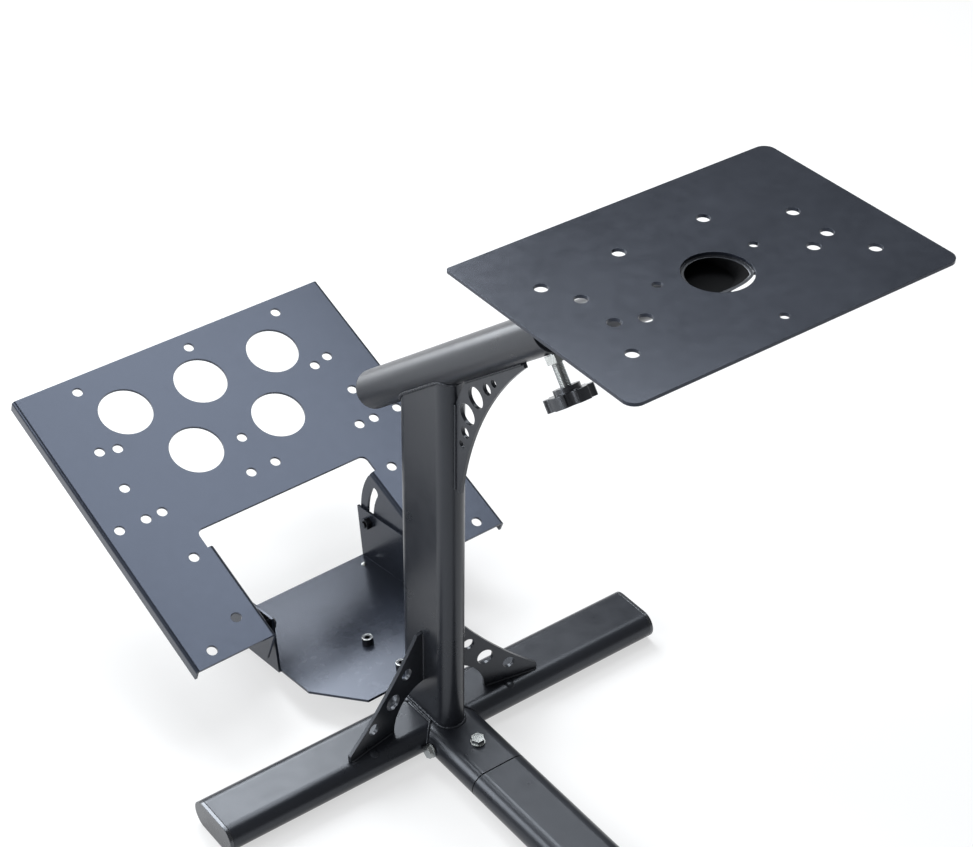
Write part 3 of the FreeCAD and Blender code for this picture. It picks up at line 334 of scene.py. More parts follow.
def lines_mesh(name: str, paths: Iterable[Sequence[Vector]]) -> bpy.types.Mesh:
    """A mesh of open or closed runs of edges.

    Args:
        name: The mesh's name.
        paths: The runs of points, in millimetres; a run that ends where it starts is closed.

    Returns:
        The mesh, in metres.
    """
    points: list[Vector] = []
    edges: list[tuple[int, int]] = []
    for path in paths:
        first = len(points)
        closed = (path[0] - path[-1]).length < SAME
        run = list(path[:-1]) if closed else list(path)
        points.extend(p * MM for p in run)
        edges.extend((first + i, first + i + 1) for i in range(len(run) - 1))
        if closed:
            edges.append((len(points) - 1, first))
    mesh = bpy.data.meshes.new(name)
    mesh.from_pydata(points, edges, [])
    return mesh


@dataclass(frozen=True)
class NodeInput:
    """One named size of a geometry node tree."""

    name: str
    value: float


class RippleTree:
    """Geometry nodes that lay overlapping ripples along edges, as a weld bead has."""

    def __init__(self, name: str, material: bpy.types.Material) -> None:
        """Builds the tree.

        Args:
            name: The tree's name.
            material: What its result wears.
        """
        self.tree = bpy.data.node_groups.new(name, "GeometryNodeTree")
        face = self.tree.interface
        face.new_socket("Geometry", in_out="INPUT", socket_type="NodeSocketGeometry")
        self.keys: dict[str, str] = {}
        for item in (NodeInput("Pitch", 0.0019), NodeInput("Half Width", 0.0024),
                     NodeInput("Half Length", 0.0021)):
            socket = face.new_socket(item.name, in_out="INPUT", socket_type="NodeSocketFloat")
            socket.default_value = item.value
            self.keys[item.name] = socket.identifier
        face.new_socket("Geometry", in_out="OUTPUT", socket_type="NodeSocketGeometry")
        self._build(material)

    def _build(self, material: bpy.types.Material) -> None:
        """Adds the nodes.

        Args:
            material: What the result wears.
        """
        nodes, links = self.tree.nodes, self.tree.links
        source = nodes.new("NodeGroupInput")
        curve = nodes.new("GeometryNodeMeshToCurve")
        links.new(source.outputs["Geometry"], curve.inputs["Mesh"])
        steps = nodes.new("GeometryNodeResampleCurve")
        steps.mode = "LENGTH"
        links.new(curve.outputs["Curve"], steps.inputs["Curve"])
        links.new(source.outputs["Pitch"], steps.inputs["Length"])
        bead = nodes.new("GeometryNodeMeshIcoSphere")
        bead.inputs["Radius"].default_value = 1.0
        bead.inputs["Subdivisions"].default_value = 2
        smooth = nodes.new("GeometryNodeSetShadeSmooth")
        links.new(bead.outputs["Mesh"], smooth.inputs[0])
        tangent = nodes.new("GeometryNodeInputTangent")
        align = nodes.new("FunctionNodeAlignRotationToVector")
        align.axis = "Z"
        links.new(tangent.outputs[0], align.inputs["Vector"])
        size = nodes.new("ShaderNodeCombineXYZ")
        links.new(source.outputs["Half Width"], size.inputs["X"])
        links.new(source.outputs["Half Width"], size.inputs["Y"])
        links.new(source.outputs["Half Length"], size.inputs["Z"])
        vary = nodes.new("FunctionNodeRandomValue")
        vary.data_type = "FLOAT"
        vary.inputs["Seed"].default_value = 7
        low = [s for s in vary.inputs if s.name == "Min" and s.enabled][0]
        high = [s for s in vary.inputs if s.name == "Max" and s.enabled][0]
        low.default_value, high.default_value = 0.86, 1.1
        value = [s for s in vary.outputs if s.enabled][0]
        scale = nodes.new("ShaderNodeVectorMath")
        scale.operation = "SCALE"
        links.new(size.outputs[0], scale.inputs[0])
        links.new(value, scale.inputs["Scale"])
        copies = nodes.new("GeometryNodeInstanceOnPoints")
        links.new(steps.outputs["Curve"], copies.inputs["Points"])
        links.new(smooth.outputs[0], copies.inputs["Instance"])
        links.new(align.outputs["Rotation"], copies.inputs["Rotation"])
        links.new(scale.outputs[0], copies.inputs["Scale"])
        real = nodes.new("GeometryNodeRealizeInstances")
        links.new(copies.outputs["Instances"], real.inputs[0])
        wear = nodes.new("GeometryNodeSetMaterial")
        wear.inputs["Material"].default_value = material
        links.new(real.outputs[0], wear.inputs["Geometry"])
        out = nodes.new("NodeGroupOutput")
        links.new(wear.outputs[0], out.inputs["Geometry"])

    def lay(self, name: str, paths: Sequence[Sequence[Vector]], **sizes: float) -> bpy.types.Object:
        """Lays one bead object.

        Args:
            name: The piece's name.
            paths: Runs of points in millimetres.
            **sizes: Values of the named inputs, with underscores for spaces.

        Returns:
            The finished plain mesh object.
        """
        thing = new_object(name, lines_mesh(name, paths))
        modifier = thing.modifiers.new("ripples", "NODES")
        modifier.node_group = self.tree
        for key, value in sizes.items():
            modifier[self.keys[key.replace("_", " ").title()]] = value
        bpy.context.view_layer.update()
        return settle(thing)


class RidgeTree:
    """Geometry nodes that stack ring ridges along Z, as a coarse thread has."""

    def __init__(self, material: bpy.types.Material) -> None:
        """Builds the tree.

        Args:
            material: What its result wears.
        """
        self.tree = bpy.data.node_groups.new("thread_ridges", "GeometryNodeTree")
        face = self.tree.interface
        face.new_socket("Geometry", in_out="INPUT", socket_type="NodeSocketGeometry")
        self.keys: dict[str, str] = {}
        for item in (NodeInput("Radius", 0.005), NodeInput("Ridge", 0.00045), NodeInput("Pitch", 0.0015)):
            socket = face.new_socket(item.name, in_out="INPUT", socket_type="NodeSocketFloat")
            socket.default_value = item.value
            self.keys[item.name] = socket.identifier
        count = face.new_socket("Count", in_out="INPUT", socket_type="NodeSocketInt")
        count.default_value = 14
        self.keys["Count"] = count.identifier
        face.new_socket("Geometry", in_out="OUTPUT", socket_type="NodeSocketGeometry")
        nodes, links = self.tree.nodes, self.tree.links
        source = nodes.new("NodeGroupInput")
        ring = nodes.new("GeometryNodeCurvePrimitiveCircle")
        ring.inputs["Resolution"].default_value = 32
        links.new(source.outputs["Radius"], ring.inputs["Radius"])
        section = nodes.new("GeometryNodeCurvePrimitiveCircle")
        section.inputs["Resolution"].default_value = 4
        links.new(source.outputs["Ridge"], section.inputs["Radius"])
        solid = nodes.new("GeometryNodeCurveToMesh")
        links.new(ring.outputs["Curve"], solid.inputs["Curve"])
        links.new(section.outputs["Curve"], solid.inputs["Profile Curve"])
        offset = nodes.new("ShaderNodeCombineXYZ")
        links.new(source.outputs["Pitch"], offset.inputs["Z"])
        line = nodes.new("GeometryNodeMeshLine")
        links.new(source.outputs["Count"], line.inputs["Count"])
        links.new(offset.outputs[0], line.inputs["Offset"])
        copies = nodes.new("GeometryNodeInstanceOnPoints")
        links.new(line.outputs["Mesh"], copies.inputs["Points"])
        links.new(solid.outputs["Mesh"], copies.inputs["Instance"])
        real = nodes.new("GeometryNodeRealizeInstances")
        links.new(copies.outputs["Instances"], real.inputs[0])
        wear = nodes.new("GeometryNodeSetMaterial")
        wear.inputs["Material"].default_value = material
        links.new(real.outputs[0], wear.inputs["Geometry"])
        out = nodes.new("NodeGroupOutput")
        links.new(wear.outputs[0], out.inputs["Geometry"])

    def stack(self, name: str, place: Matrix, radius: float, pitch: float, count: int) -> bpy.types.Object:
        """Makes one threaded stretch.

        Args:
            name: The piece's name.
            place: Where its first ridge stands, in metres.
            radius: The thread's root radius, in metres.
            pitch: The ridges' spacing, in metres.
            count: How many ridges there are.

        Returns:
            The finished plain mesh object.
        """
        thing = new_object(name, bpy.data.meshes.new(name))
        modifier = thing.modifiers.new("ridges", "NODES")
        modifier.node_group = self.tree
        modifier[self.keys["Radius"]] = radius
        modifier[self.keys["Pitch"]] = pitch
        modifier[self.keys["Count"]] = count
        bpy.context.view_layer.update()
        settle(thing)
        thing.data.transform(place)
        return thing


def turned(name: str, profile: Profile, place: Matrix, steps: int = 40,
           rounding: float = 0.25) -> bpy.types.Object:
    """A lathe-turned solid or ring.

    Args:
        name: The piece's name.
        profile: Closed or axis-to-axis outline as (radius, height) pairs, in millimetres.
        place: Where it stands, in metres.
        steps: How many segments go round.
        rounding: The width of its rounded edges, in millimetres.

    Returns:
        The object.
    """
    mesh = bmesh.new()
    verts = [mesh.verts.new((r * MM, 0.0, z * MM)) for r, z in profile]
    edges = [mesh.edges.new((verts[i], verts[i + 1])) for i in range(len(verts) - 1)]
    if profile[0][0] > SAME:
        edges.append(mesh.edges.new((verts[-1], verts[0])))
    bmesh.ops.spin(mesh, geom=verts + edges, cent=(0, 0, 0), axis=(0, 0, 1), angle=2 * math.pi, steps=steps,
                   use_merge=True, use_duplicate=False)
    bmesh.ops.remove_doubles(mesh, verts=mesh.verts, dist=SAME)
    bmesh.ops.recalc_face_normals(mesh, faces=mesh.faces)
    data = bpy.data.meshes.new(name)
    mesh.to_mesh(data)
    mesh.free()
    data.transform(place)
    for face in data.polygons:
        face.use_smooth = True
    thing = new_object(name, data)
    soft = thing.modifiers.new("round_edges", "BEVEL")
    soft.width = rounding * MM
    soft.segments = 2
    soft.limit_method = "ANGLE"
    return settle(thing)


@dataclass
class Post:
    """The upright post and the joints welded round it, sizes in millimetres."""

    flat: float = 26.5
    round: float = 16.0
    bead: float = 0.6
    floor: float = 32.3
    arm_axis: float = 471.0
    arm_slope: float = 38.7
    arm_round: float = 20.5
    side_steps: int = 4

    def ring(self, height: Callable[[float, float], float], steps: int = 20) -> list[Vector]:
        """A closed path round the post.

        Args:
            height: The path's height at a point of the outline.
            steps: Points on each round end.

        Returns:
            The path's points.
        """
        out = self.round + self.bead
        plan: list[tuple[float, float]] = []
        for side in (1, -1):
            for i in range(steps + 1):
                angle = math.pi * i / steps if side > 0 else math.pi + math.pi * i / steps
                plan.append((out * math.cos(angle), side * self.flat + out * math.sin(angle)))
            for i in range(1, 2 * self.side_steps):
                plan.append((-side * out, side * self.flat * (1 - i / self.side_steps)))
        path = [Vector((x, y, height(x, y))) for x, y in plan]
        return path + [path[0]]

    def under_arm(self, x: float, y: float) -> float:
        """Height of the arm's underside over a point of the plan.

        Args:
            x: Across the arm.
            y: Along the rail.

        Returns:
            The height.
        """
        slope = math.radians(self.arm_slope)
        lift = -math.sqrt(max(self.arm_round ** 2 - x * x, 1.0))
        along = (lift * math.sin(slope) - y) / math.cos(slope)
        return self.arm_axis + along * math.sin(slope) + lift * math.cos(slope)

    def paths(self) -> list[list[Vector]]:
        """The beads at the post's foot and under the arm."""
        return [self.ring(lambda x, y: self.floor), self.ring(self.under_arm)]


@dataclass
class FlatOvalTee:
    """Two flat oval tubes meeting square, seen as a bead round one shoulder."""

    flat: float = 19.0
    round: float = 16.0
    stand: float = 0.4
    steps: int = 10

    def shoulder(self, x_side: float, centre: Vector, along_y: bool = False) -> list[Vector]:
        """The bead's path on one side of the tube that runs through.

        Args:
            x_side: Which side, plus or minus one.
            centre: Middle of the crossing on the floor.
            along_y: Whether the butted tube runs along Y.

        Returns:
            The path's points.
        """
        run: list[Vector] = []
        for end in (-1, 1):
            arc = []
            for i in range(self.steps + 1):
                angle = math.radians(90 * i / self.steps)
                reach = self.flat + self.round * math.sin(angle)
                arc.append((x_side * (reach + self.stand), end * reach, self.round + self.round * math.cos(angle)))
            run.extend(Vector(p) for p in (reversed(arc) if end < 0 else arc))
        if along_y:
            run = [Vector((p.y, p.x, p.z)) for p in run]
        return [p + centre for p in run]


@dataclass
class LowerGusset:
    """Beads of one splayed plate between the post and a foot tube."""

    sign: float
    splay: float = 10.0
    near: float = 16.95
    far: float = 125.0
    low: float = 32.3
    relief: float = 44.0
    top: float = 143.0
    half: float = 2.0
    y: float = 3.0
    stand: float = 0.5
    bite: float = 0.4
    clear: tuple[float, float] = (3.0, 2.0)

    def place(self, along: float, off: float, z: float) -> Vector:
        """A point of the plate in the frame.

        Args:
            along: Distance from the post's axis.
            off: Distance from the plate's mid-plane.
            z: Height.

        Returns:
            The point.
        """
        angle = math.radians(-self.sign * self.splay)
        x, y = self.sign * along, off
        return Vector((x * math.cos(angle) - y * math.sin(angle),
                       self.y + x * math.sin(angle) + y * math.cos(angle), z))

    def paths(self) -> list[list[Vector]]:
        """The beads along the post and along the foot tube, on both faces."""
        made: list[list[Vector]] = []
        for face in (-1, 1):
            off, edge = face * (self.half + self.stand), self.near - self.bite
            low, high = self.low + self.relief + self.clear[0], self.top - self.clear[1]
            made.append([self.place(edge, off, low), self.place(edge, off, high)])
            start, stop = self.near + self.relief + self.clear[0], self.far - self.clear[0]
            made.append([self.place(start, off, self.low), self.place(stop, off, self.low)])
        return made


@dataclass
class TopGusset:
    """Beads of the pierced plate between the post and the arm."""

    x: float = -2.0
    half: float = 2.0
    post: float = 42.8
    low: float = 355.0
    high: float = 455.0
    near: float = 60.0
    far: float = 166.0
    under: float = 20.8
    slope: float = 38.7
    axis_z: float = 471.0
    stand: float = 0.4

    def on_arm(self, along: float) -> tuple[float, float]:
        """Place of a point of the arm's underside line.

        Args:
            along: Distance up the arm.

        Returns:
            Its y and z.
        """
        angle = math.radians(self.slope)
        return (-along * math.cos(angle) - self.under * math.sin(angle),
                self.axis_z + along * math.sin(angle) - self.under * math.cos(angle))

    def paths(self) -> list[list[Vector]]:
        """The beads on both faces."""
        made: list[list[Vector]] = []
        for face in (-1, 1):
            x = self.x + face * (self.half + self.stand)
            made.append([Vector((x, -self.post, self.low)), Vector((x, -self.post, self.high))])
            (y0, z0), (y1, z1) = self.on_arm(self.near), self.on_arm(self.far)
            made.append([Vector((x, y0, z0)), Vector((x, y1, z1))])
        return made


@dataclass
class Welds:
    """All the painted weld beads."""

    shop: Paintshop
    post: Post = field(default_factory=Post)
    tee: FlatOvalTee = field(default_factory=FlatOvalTee)
    rear_y: float = -675.3
    socket_y: float = -380.2
    socket_z: float = 774.2
    socket_round: float = 29.4
    socket_from: float = -0.49
    socket_sweep: float = 4.5
    socket_steps: int = 48

    def socket_path(self) -> list[Vector]:
        """The bead under the wheel plate's opening, open where the lip is."""
        path = []
        for i in range(self.socket_steps + 1):
            angle = self.socket_from + self.socket_sweep * i / self.socket_steps
            path.append(Vector((self.socket_round * math.cos(angle),
                                self.socket_y + self.socket_round * math.sin(angle), self.socket_z)))
        return path

    def build(self) -> list[bpy.types.Object]:
        """Lays the beads of the frame and of the wheel carriage.

        Returns:
            The objects.
        """
        tree = RippleTree("weld_ripples", self.shop.get(WELD))
        heavy = self.post.paths()
        light = LowerGusset(-1.0).paths() + LowerGusset(1.0).paths() + TopGusset().paths()
        light += [self.tee.shoulder(side, Vector((0, 0, 0))) for side in (-1, 1)]
        light += [self.tee.shoulder(1, Vector((0, self.rear_y, 0)), along_y=True)]
        made = [
            tree.lay("post_welds", heavy, half_width=0.0019, half_length=0.0022),
            tree.lay("gusset_welds", light, half_width=0.0015, half_length=0.0018, pitch=0.0016),
        ]
        for piece in made:
            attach(piece, Body.FRAME.value)
        under = tree.lay("socket_weld", [self.socket_path()], half_width=0.0014, half_length=0.0016, pitch=0.0016)
        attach(under, Body.CARRIAGE.value)
        made.append(under)
        return made


@dataclass
class Clamp:
    """The clamp stud's thread, sizes in millimetres."""

    shop: Paintshop
    along: float = 217.5
    axis_z: float = 471.0
    slope: float = 38.7
    first: float = 29.6
    pitch: float = 1.5
    count: int = 15
    stud: float = 5.0

    def place(self, out: float) -> Matrix:
        """Frame of a point on the stud's axis, Z pointing off the arm.

        Args:
            out: Distance from the arm's axis.

        Returns:
            The placement, in metres.
        """
        angle = math.radians(self.slope)
        point = Vector((0, -self.along * math.cos(angle) - out * math.sin(angle),
                        self.axis_z + self.along * math.sin(angle) - out * math.cos(angle)))
        return Matrix.Translation(point * MM) @ Matrix.Rotation(math.radians(180 - self.slope), 4, "X")

    def build(self) -> list[bpy.types.Object]:
        """Makes the thread.

        Returns:
            The piece.
        """
        tree = RidgeTree(self.shop.get(ZINC))
        thread = tree.stack("clamp_thread", self.place(self.first), self.stud * MM, self.pitch * MM, self.count)
        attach(thread, Body.CLAMP.value)
        return [thread]


@dataclass
class Hood:
    """The flared end of the sliding tube under the wheel plate's large opening, sizes in millimetres."""

    shop: Paintshop
    axis: tuple[float, float] = (-0.7804, 0.6252)
    axis_z: float = 471.0
    hole_y: float = -380.2
    top: float = 774.9
    low: float = 741.0
    plug: float = 763.4
    mouth_rad: float = 28.9
    lip_y: float = -22.4
    lip_rad: float = 47.0
    collar: tuple[float, float] = (19.8, 31.6)
    wall: float = 2.9
    steps: int = 96
    cut_step: float = 0.25
    # Sizes of the near-black plug that paints shade inside the hood.
    shade_plug_gap: float = 0.1
    shade_plug_wall: float = 0.4
    shade_plug_floor: float = 0.6

    def axis_y(self, z: float) -> float:
        """Where the tube's axis is at a height.

        Args:
            z: The height.

        Returns:
            The position along Y.
        """
        return self.axis[0] * (z - self.axis_z) / self.axis[1]

    def mouth_point(self, angle: float, inset: float) -> tuple[float, float]:
        """A point of the mouth: a circle cut off by a shallow lip on its near side.

        Args:
            angle: The direction from the hole's centre.
            inset: How far inside the outline.

        Returns:
            The point relative to the hole's centre.
        """
        x, y = math.cos(angle), math.sin(angle)
        reach = self.mouth_rad - inset
        while y < 0.0 and y * reach < self.lip(x * reach, inset):
            reach -= self.cut_step
        return x * reach, y * reach

    def lip(self, x: float, inset: float) -> float:
        """How far the lip reaches at a place across it.

        Args:
            x: The place across the hole.
            inset: How far inside the outline.

        Returns:
            The lip's position along Y.
        """
        rise = self.lip_rad - math.sqrt(self.lip_rad ** 2 - x ** 2) if x > 0.0 else 0.0
        return self.lip_y + inset + rise

    def ring(self, z: float, inset: float) -> list[Vector]:
        """One outline of the hood at a height.

        Args:
            z: The height.
            inset: How far inside the outer outline.

        Returns:
            The points, in millimetres.
        """
        share = (self.top - z) / (self.top - self.low)
        points = []
        for i in range(self.steps):
            angle = 2 * math.pi * i / self.steps
            mx, my = self.mouth_point(angle, inset)
            cx = (self.collar[0] - inset) * math.cos(angle)
            cy = self.axis_y(self.low) + (self.collar[1] - inset) * math.sin(angle)
            my += self.hole_y
            points.append(Vector((mx + (cx - mx) * share, my + (cy - my) * share, z)))
        return points

    def shell(self) -> bpy.types.Object:
        """The hood's wall.

        Returns:
            The object.
        """
        mesh = bmesh.new()
        rings = self.rings(mesh, ((self.top, 0.0), (self.low, 0.0), (self.low, self.wall), (self.top, self.wall)))
        self.bridge(mesh, rings + rings[:1])
        return self.wrap("tube_hood", mesh)

    def shade_plug(self) -> bpy.types.Object:
        """A near-black plug over the end of the inner tube: painted shade that keeps the inside of the hood dark.

        Returns:
            The object.
        """
        mesh = bmesh.new()
        outer = self.wall + self.shade_plug_gap
        inner = outer + self.shade_plug_wall
        brim, base = self.top - self.shade_plug_floor, self.plug + self.shade_plug_floor
        rings = self.rings(mesh, ((self.plug, outer), (brim, outer), (brim, inner), (base, inner)))
        self.bridge(mesh, rings)
        mesh.faces.new(rings[0])
        mesh.faces.new(rings[-1])
        return self.wrap("hood_painted_shade", mesh)

    def rings(self, mesh: bmesh.types.BMesh,
              levels: Sequence[tuple[float, float]]) -> list[list[bmesh.types.BMVert]]:
        """Adds one ring of points for each level.

        Args:
            mesh: The mesh being edited.
            levels: Each ring's height and inset.

        Returns:
            The rings of points.
        """
        return [[mesh.verts.new(point * MM) for point in self.ring(z, inset)] for z, inset in levels]

    def bridge(self, mesh: bmesh.types.BMesh, rings: Sequence[Sequence[bmesh.types.BMVert]]) -> None:
        """Joins each ring of points to the next with faces.

        Args:
            mesh: The mesh being edited.
            rings: The rings of points.
        """
        for one, two in zip(rings, rings[1:]):
            for i in range(self.steps):
                j = (i + 1) % self.steps
                mesh.faces.new((one[i], one[j], two[j], two[i]))

    @staticmethod
    def wrap(name: str, mesh: bmesh.types.BMesh) -> bpy.types.Object:
        """Turns an edited mesh into a smooth object.

        Args:
            name: The object's name.
            mesh: The edited mesh.

        Returns:
            The object.
        """
        bmesh.ops.recalc_face_normals(mesh, faces=mesh.faces)
        data = bpy.data.meshes.new(name)
        mesh.to_mesh(data)
        mesh.free()
        for face in data.polygons:
            face.use_smooth = abs(face.normal.z) < 0.9
        return new_object(name, data)

    def build(self) -> list[bpy.types.Object]:
        """Makes the hood in place of the plain socket, and its near-black plug of painted shade.

        Returns:
            The pieces.
        """
        made = [self.shell(), self.shade_plug()]
        # The plug inside the hood wears the near-black finish: painted shade.
        for piece, finish in zip(made, (POWDER, PAINTED_SHADE)):
            self.shop.dress(piece, finish)
            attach(piece, Body.CARRIAGE.value)
        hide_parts("tube_socket")
        return made


@dataclass
class BaseHardware:
    """Small bright heads on the pedal base, sizes in millimetres."""

    shop: Paintshop
    base_y: float = 44.5
    base_z: float = 32.3
    slope: float = 7.18
    sheet: float = 3.0
    turn: float = 1.39
    shift: float = 4.5
    corner_u: float = 88.0
    corner_at: float = 216.0
    screw_at: tuple[float, float] = (21.0, 85.0)
    head_high: float = 8.3
    pad_gap: float = 0.05
    dome: Profile = ((0.0, 2.4), (1.2, 2.3), (2.4, 1.9), (3.4, 1.1), (3.9, 0.2), (3.9, 0.0), (0.0, 0.0))
    # Outline of the bright ring that paints the highlight on a socket head's top edge.
    glint_ring: Profile = ((5.2, 0.0), (6.0, 0.0), (6.35, 0.12), (6.0, 0.3), (5.4, 0.3), (5.2, 0.15))

    def place(self, across: float, along: float, up: float) -> Matrix:
        """Frame of a point of the base, Z along its normal.

        Args:
            across: Distance from the base's middle line.
            along: Distance down the base.
            up: Height over its underside.

        Returns:
            The placement, in metres.
        """
        angle = math.radians(self.slope)
        local = Vector((across, self.base_y + along * math.cos(angle) + up * math.sin(angle),
                        self.base_z - along * math.sin(angle) + up * math.cos(angle)))
        unit = Matrix.Translation(Vector((self.shift, 0, 0)) * MM)
        unit = unit @ Matrix.Rotation(math.radians(self.turn), 4, "Z")
        return unit @ Matrix.Translation(local * MM) @ Matrix.Rotation(-angle, 4, "X")

    def build(self) -> list[bpy.types.Object]:
        """Makes the pad screws, and bright zinc rings on the socket screws that are painted highlight: the glint
        on each dark head's top edge.

        Returns:
            The pieces.
        """
        made = []
        for name, side in (("left", -1), ("right", 1)):
            spot = self.place(side * self.corner_u, self.corner_at, self.sheet + self.pad_gap)
            made.append(turned("pad_screw_" + name, self.dome, spot))
        for name, along in zip(("front", "rear"), self.screw_at):
            spot = self.place(0, along, self.sheet + self.head_high)
            # A bright zinc ring on top of the dark socket head: painted highlight standing for the glint on its
            # edge.
            made.append(turned("screw_glint_ring_" + name, self.glint_ring, spot))
        for piece in made:
            self.shop.dress(piece, ZINC)
            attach(piece, Body.FRAME.value)
        return made


@dataclass
class WeldTacks:
    """Low round weld tacks by the lower gusset plates and on the sleeve, sizes in millimetres."""

    shop: Paintshop
    toe_at: tuple[float, float] = (95.0, 84.0)
    shoulder: tuple[float, float] = (19.0, 16.0)
    mid_z: float = 16.0
    lean: float = 13.0
    dot: Point = (0.6, -37.0, 32.0)
    low: Profile = ((0.0, 1.4), (1.8, 1.25), (3.4, 0.85), (4.8, 0.25), (5.7, -0.4), (6.2, -1.0), (0.0, -1.0))
    tip: Profile = ((0.0, 1.1), (0.9, 1.0), (1.7, 0.6), (2.1, -0.2), (0.0, -0.2))

    def build(self) -> list[bpy.types.Object]:
        """Makes the tacks.

        Returns:
            The pieces.
        """
        angle = math.radians(self.lean)
        y = -(self.shoulder[0] + self.shoulder[1] * math.sin(angle))
        z = self.mid_z + self.shoulder[1] * math.cos(angle)
        made = []
        for name, x in (("left", -self.toe_at[0]), ("right", self.toe_at[1])):
            spot = Matrix.Translation(Vector((x, y, z)) * MM) @ Matrix.Rotation(angle, 4, "X")
            made.append(turned("toe_tack_" + name, self.low, spot, 32))
        made.append(turned("sleeve_tack", self.tip, Matrix.Translation(Vector(self.dot) * MM), 20))
        for piece in made:
            self.shop.dress(piece, WELD)
            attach(piece, Body.FRAME.value)
        return made


@dataclass(frozen=True)
class Lamp:
    """One soft lamp: where it hangs, what it points at, its width and height, and its watts."""

    name: str
    place: Point
    aim: Point
    size: tuple[float, float]
    power: float


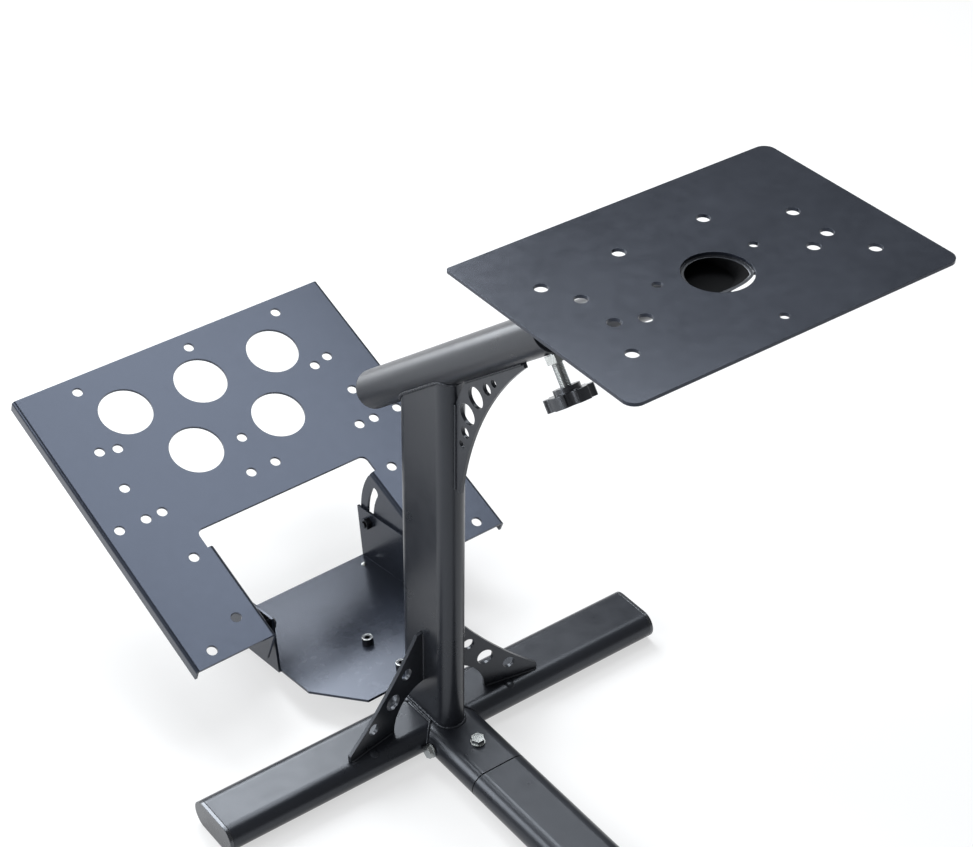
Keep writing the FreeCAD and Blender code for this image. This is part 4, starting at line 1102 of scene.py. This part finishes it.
@dataclass
class Studio:
    """Floor, soft lights and the camera."""

    lamps: tuple[Lamp, ...] = (
        Lamp("back_right", (0.36, 2.0, 1.96), (0.0, -0.1, 0.35), (1.5, 1.6), 78.0),
        Lamp("back_low", (-0.5, 2.7, 0.34), (0.0, 0.0, 0.5), (1.2, 0.5), 14.0),
        Lamp("overhead", (1.0, 0.7, 2.75), (0.0, 0.3, 0.2), (1.4, 1.2), 32.0),
        Lamp("left_side", (-2.6, -0.2, 1.4), (0.0, 0.0, 0.3), (1.0, 1.3), 30.0),
        Lamp("back_left", (-1.55, 1.4, 1.4), (0.0, -0.3, 0.1), (0.9, 1.3), 30.0),
    )
    eye: Point = (-1.033604, -1.446982, 1.715674)
    right: Point = (0.800109, -0.599789, 0.008855)
    up: Point = (0.349912, 0.478664, 0.805259)
    back: Point = (-0.487224, -0.641197, 0.592857)
    tint: Point = (0.95, 0.98, 1.0)
    focal_pixels: float = 2255.11
    frame_pixels: float = 973.0
    sensor: float = 36.0
    clip: tuple[float, float] = (0.05, 60.0)
    floor_half: float = 60.0
    floor_drop: float = 0.0005
    near_share: float = 0.6
    near_reach: tuple[float, float] = (0.9, 4.0)

    def camera(self) -> None:
        """Places the camera where the view was taken from."""
        data = bpy.data.cameras.new("view")
        data.sensor_width = self.sensor
        data.lens = self.focal_pixels * data.sensor_width / self.frame_pixels
        data.clip_start, data.clip_end = self.clip
        thing = bpy.data.objects.new("view", data)
        bpy.context.scene.collection.objects.link(thing)
        turn = Matrix((self.right, self.up, self.back)).transposed().to_4x4()
        thing.matrix_world = Matrix.Translation(self.eye) @ turn
        bpy.context.scene.camera = thing

    def hang(self, lamp: Lamp) -> None:
        """Adds one soft lamp.

        Args:
            lamp: The lamp.
        """
        data = bpy.data.lights.new(lamp.name, "AREA")
        data.shape = "RECTANGLE"
        data.size, data.size_y = lamp.size
        data.energy = lamp.power
        data.color = self.tint
        thing = bpy.data.objects.new(lamp.name, data)
        bpy.context.scene.collection.objects.link(thing)
        thing.visible_camera = False
        thing.location = lamp.place
        aim = Vector(lamp.aim) - Vector(lamp.place)
        thing.rotation_euler = aim.to_track_quat("-Z", "Y").to_euler()

    def world(self, strength: float = 0.15) -> None:
        """Pale even surroundings.

        Args:
            strength: The light they give.
        """
        made = bpy.data.worlds.new("pale_room")
        bpy.context.scene.world = made
        made.use_nodes = True
        tree = made.node_tree
        tree.nodes.clear()
        out = tree.nodes.new("ShaderNodeOutputWorld")
        light = tree.nodes.new("ShaderNodeBackground")
        light.inputs["Color"].default_value = (0.96, 0.98, 1.0, 1.0)
        light.inputs["Strength"].default_value = strength
        seen = tree.nodes.new("ShaderNodeBackground")
        seen.inputs["Color"].default_value = (1.0, 1.0, 1.0, 1.0)
        seen.inputs["Strength"].default_value = 1.0
        mix = tree.nodes.new("ShaderNodeMixShader")
        tree.links.new(self.ray_share(tree, 1.0, 0.12, 1.0), mix.inputs["Fac"])
        tree.links.new(light.outputs[0], mix.inputs[1])
        tree.links.new(seen.outputs[0], mix.inputs[2])
        tree.links.new(mix.outputs[0], out.inputs["Surface"])

    @staticmethod
    def ray_share(tree: bpy.types.NodeTree, camera: float, gloss: float, glass: float) -> bpy.types.NodeSocket:
        """How much of the plain white background each kind of ray meets.

        Args:
            tree: The node tree.
            camera: The share for camera rays.
            gloss: The share for glossy rays.
            glass: The share for transmission rays.

        Returns:
            The socket with the share.
        """
        path = tree.nodes.new("ShaderNodeLightPath")
        total = None
        for ray, share in (("Is Camera Ray", camera), ("Is Glossy Ray", gloss), ("Is Transmission Ray", glass)):
            part = tree.nodes.new("ShaderNodeMath")
            part.operation = "MULTIPLY"
            part.inputs[1].default_value = share
            tree.links.new(path.outputs[ray], part.inputs[0])
            if total is None:
                total = part.outputs[0]
                continue
            most = tree.nodes.new("ShaderNodeMath")
            most.operation = "MAXIMUM"
            tree.links.new(total, most.inputs[0])
            tree.links.new(part.outputs[0], most.inputs[1])
            total = most.outputs[0]
        return total

    def pale_to_eye(self, tree: bpy.types.NodeTree, shader: bpy.types.Node) -> None:
        """Mixes in plain white for camera, gloss and glass rays, so the floor is pale and keeps the shadow.

        Near the object a share of white is mixed in, and far off it is all white.

        Args:
            tree: The floor material's node tree.
            shader: The floor's own shader.
        """
        place = tree.nodes.new("ShaderNodeTexCoord").outputs["Object"]
        away = tree.nodes.new("ShaderNodeVectorMath")
        away.operation = "LENGTH"
        tree.links.new(place, away.inputs[0])
        grow = tree.nodes.new("ShaderNodeMapRange")
        grow.interpolation_type = "SMOOTHSTEP"
        grow.inputs["From Min"].default_value = self.near_reach[0]
        grow.inputs["From Max"].default_value = self.near_reach[1]
        grow.inputs["To Min"].default_value = self.near_share
        grow.inputs["To Max"].default_value = 1.0
        tree.links.new(away.outputs["Value"], grow.inputs["Value"])
        part = tree.nodes.new("ShaderNodeMath")
        part.operation = "MULTIPLY"
        tree.links.new(grow.outputs["Result"], part.inputs[1])
        tree.links.new(self.ray_share(tree, 1.0, 1.0, 1.0), part.inputs[0])
        white = tree.nodes.new("ShaderNodeEmission")
        white.inputs["Color"].default_value = (1.0, 1.0, 1.0, 1.0)
        white.inputs["Strength"].default_value = 1.0
        mix = tree.nodes.new("ShaderNodeMixShader")
        tree.links.new(part.outputs[0], mix.inputs["Fac"])
        tree.links.new(shader.outputs[0], mix.inputs[1])
        tree.links.new(white.outputs[0], mix.inputs[2])
        tree.links.new(mix.outputs[0], tree.nodes["Material Output"].inputs["Surface"])

    def floor(self) -> None:
        """A plain pale floor that keeps the shadow."""
        mesh = bpy.data.meshes.new("floor")
        half = self.floor_half
        corners = [(-half, -half, 0), (half, -half, 0), (half, half, 0), (-half, half, 0)]
        mesh.from_pydata(corners, [], [(0, 1, 2, 3)])
        thing = new_object("floor", mesh)
        paint = bpy.data.materials.new("pale_floor")
        paint.use_nodes = True
        tree = paint.node_tree
        shader = tree.nodes["Principled BSDF"]
        shader.inputs["Roughness"].default_value = 0.7
        place = tree.nodes.new("ShaderNodeTexCoord").outputs["Object"]
        noise = tree.nodes.new("ShaderNodeTexNoise")
        noise.inputs["Scale"].default_value = 3.0
        tree.links.new(place, noise.inputs["Vector"])
        ramp = tree.nodes.new("ShaderNodeValToRGB")
        ramp.color_ramp.elements[0].color = (0.86, 0.86, 0.87, 1.0)
        ramp.color_ramp.elements[1].color = (0.9, 0.9, 0.9, 1.0)
        tree.links.new(noise.outputs["Fac"], ramp.inputs["Fac"])
        tree.links.new(ramp.outputs["Color"], shader.inputs["Base Color"])
        self.pale_to_eye(tree, shader)
        mesh.materials.append(paint)
        thing.location.z = -self.floor_drop

    def build(self) -> None:
        """Builds the whole studio."""
        self.world()
        self.floor()
        for lamp in self.lamps:
            self.hang(lamp)
        self.camera()
        bpy.context.scene.view_settings.view_transform = "Standard"


def main() -> None:
    """Builds every sub-assembly in order."""
    logging.basicConfig(level=logging.INFO, format="%(name)s: %(message)s")
    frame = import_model()
    shop = Paintshop()
    shop.dress_nodes(frame["nodes"])
    for part in (Welds(shop), Clamp(shop), Hood(shop), BaseHardware(shop), WeldTacks(shop)):
        for piece in part.build():
            LOG.info("%s: %d faces", piece.name, len(piece.data.polygons))
    Studio().build()


if __name__ == "__main__":
    main()
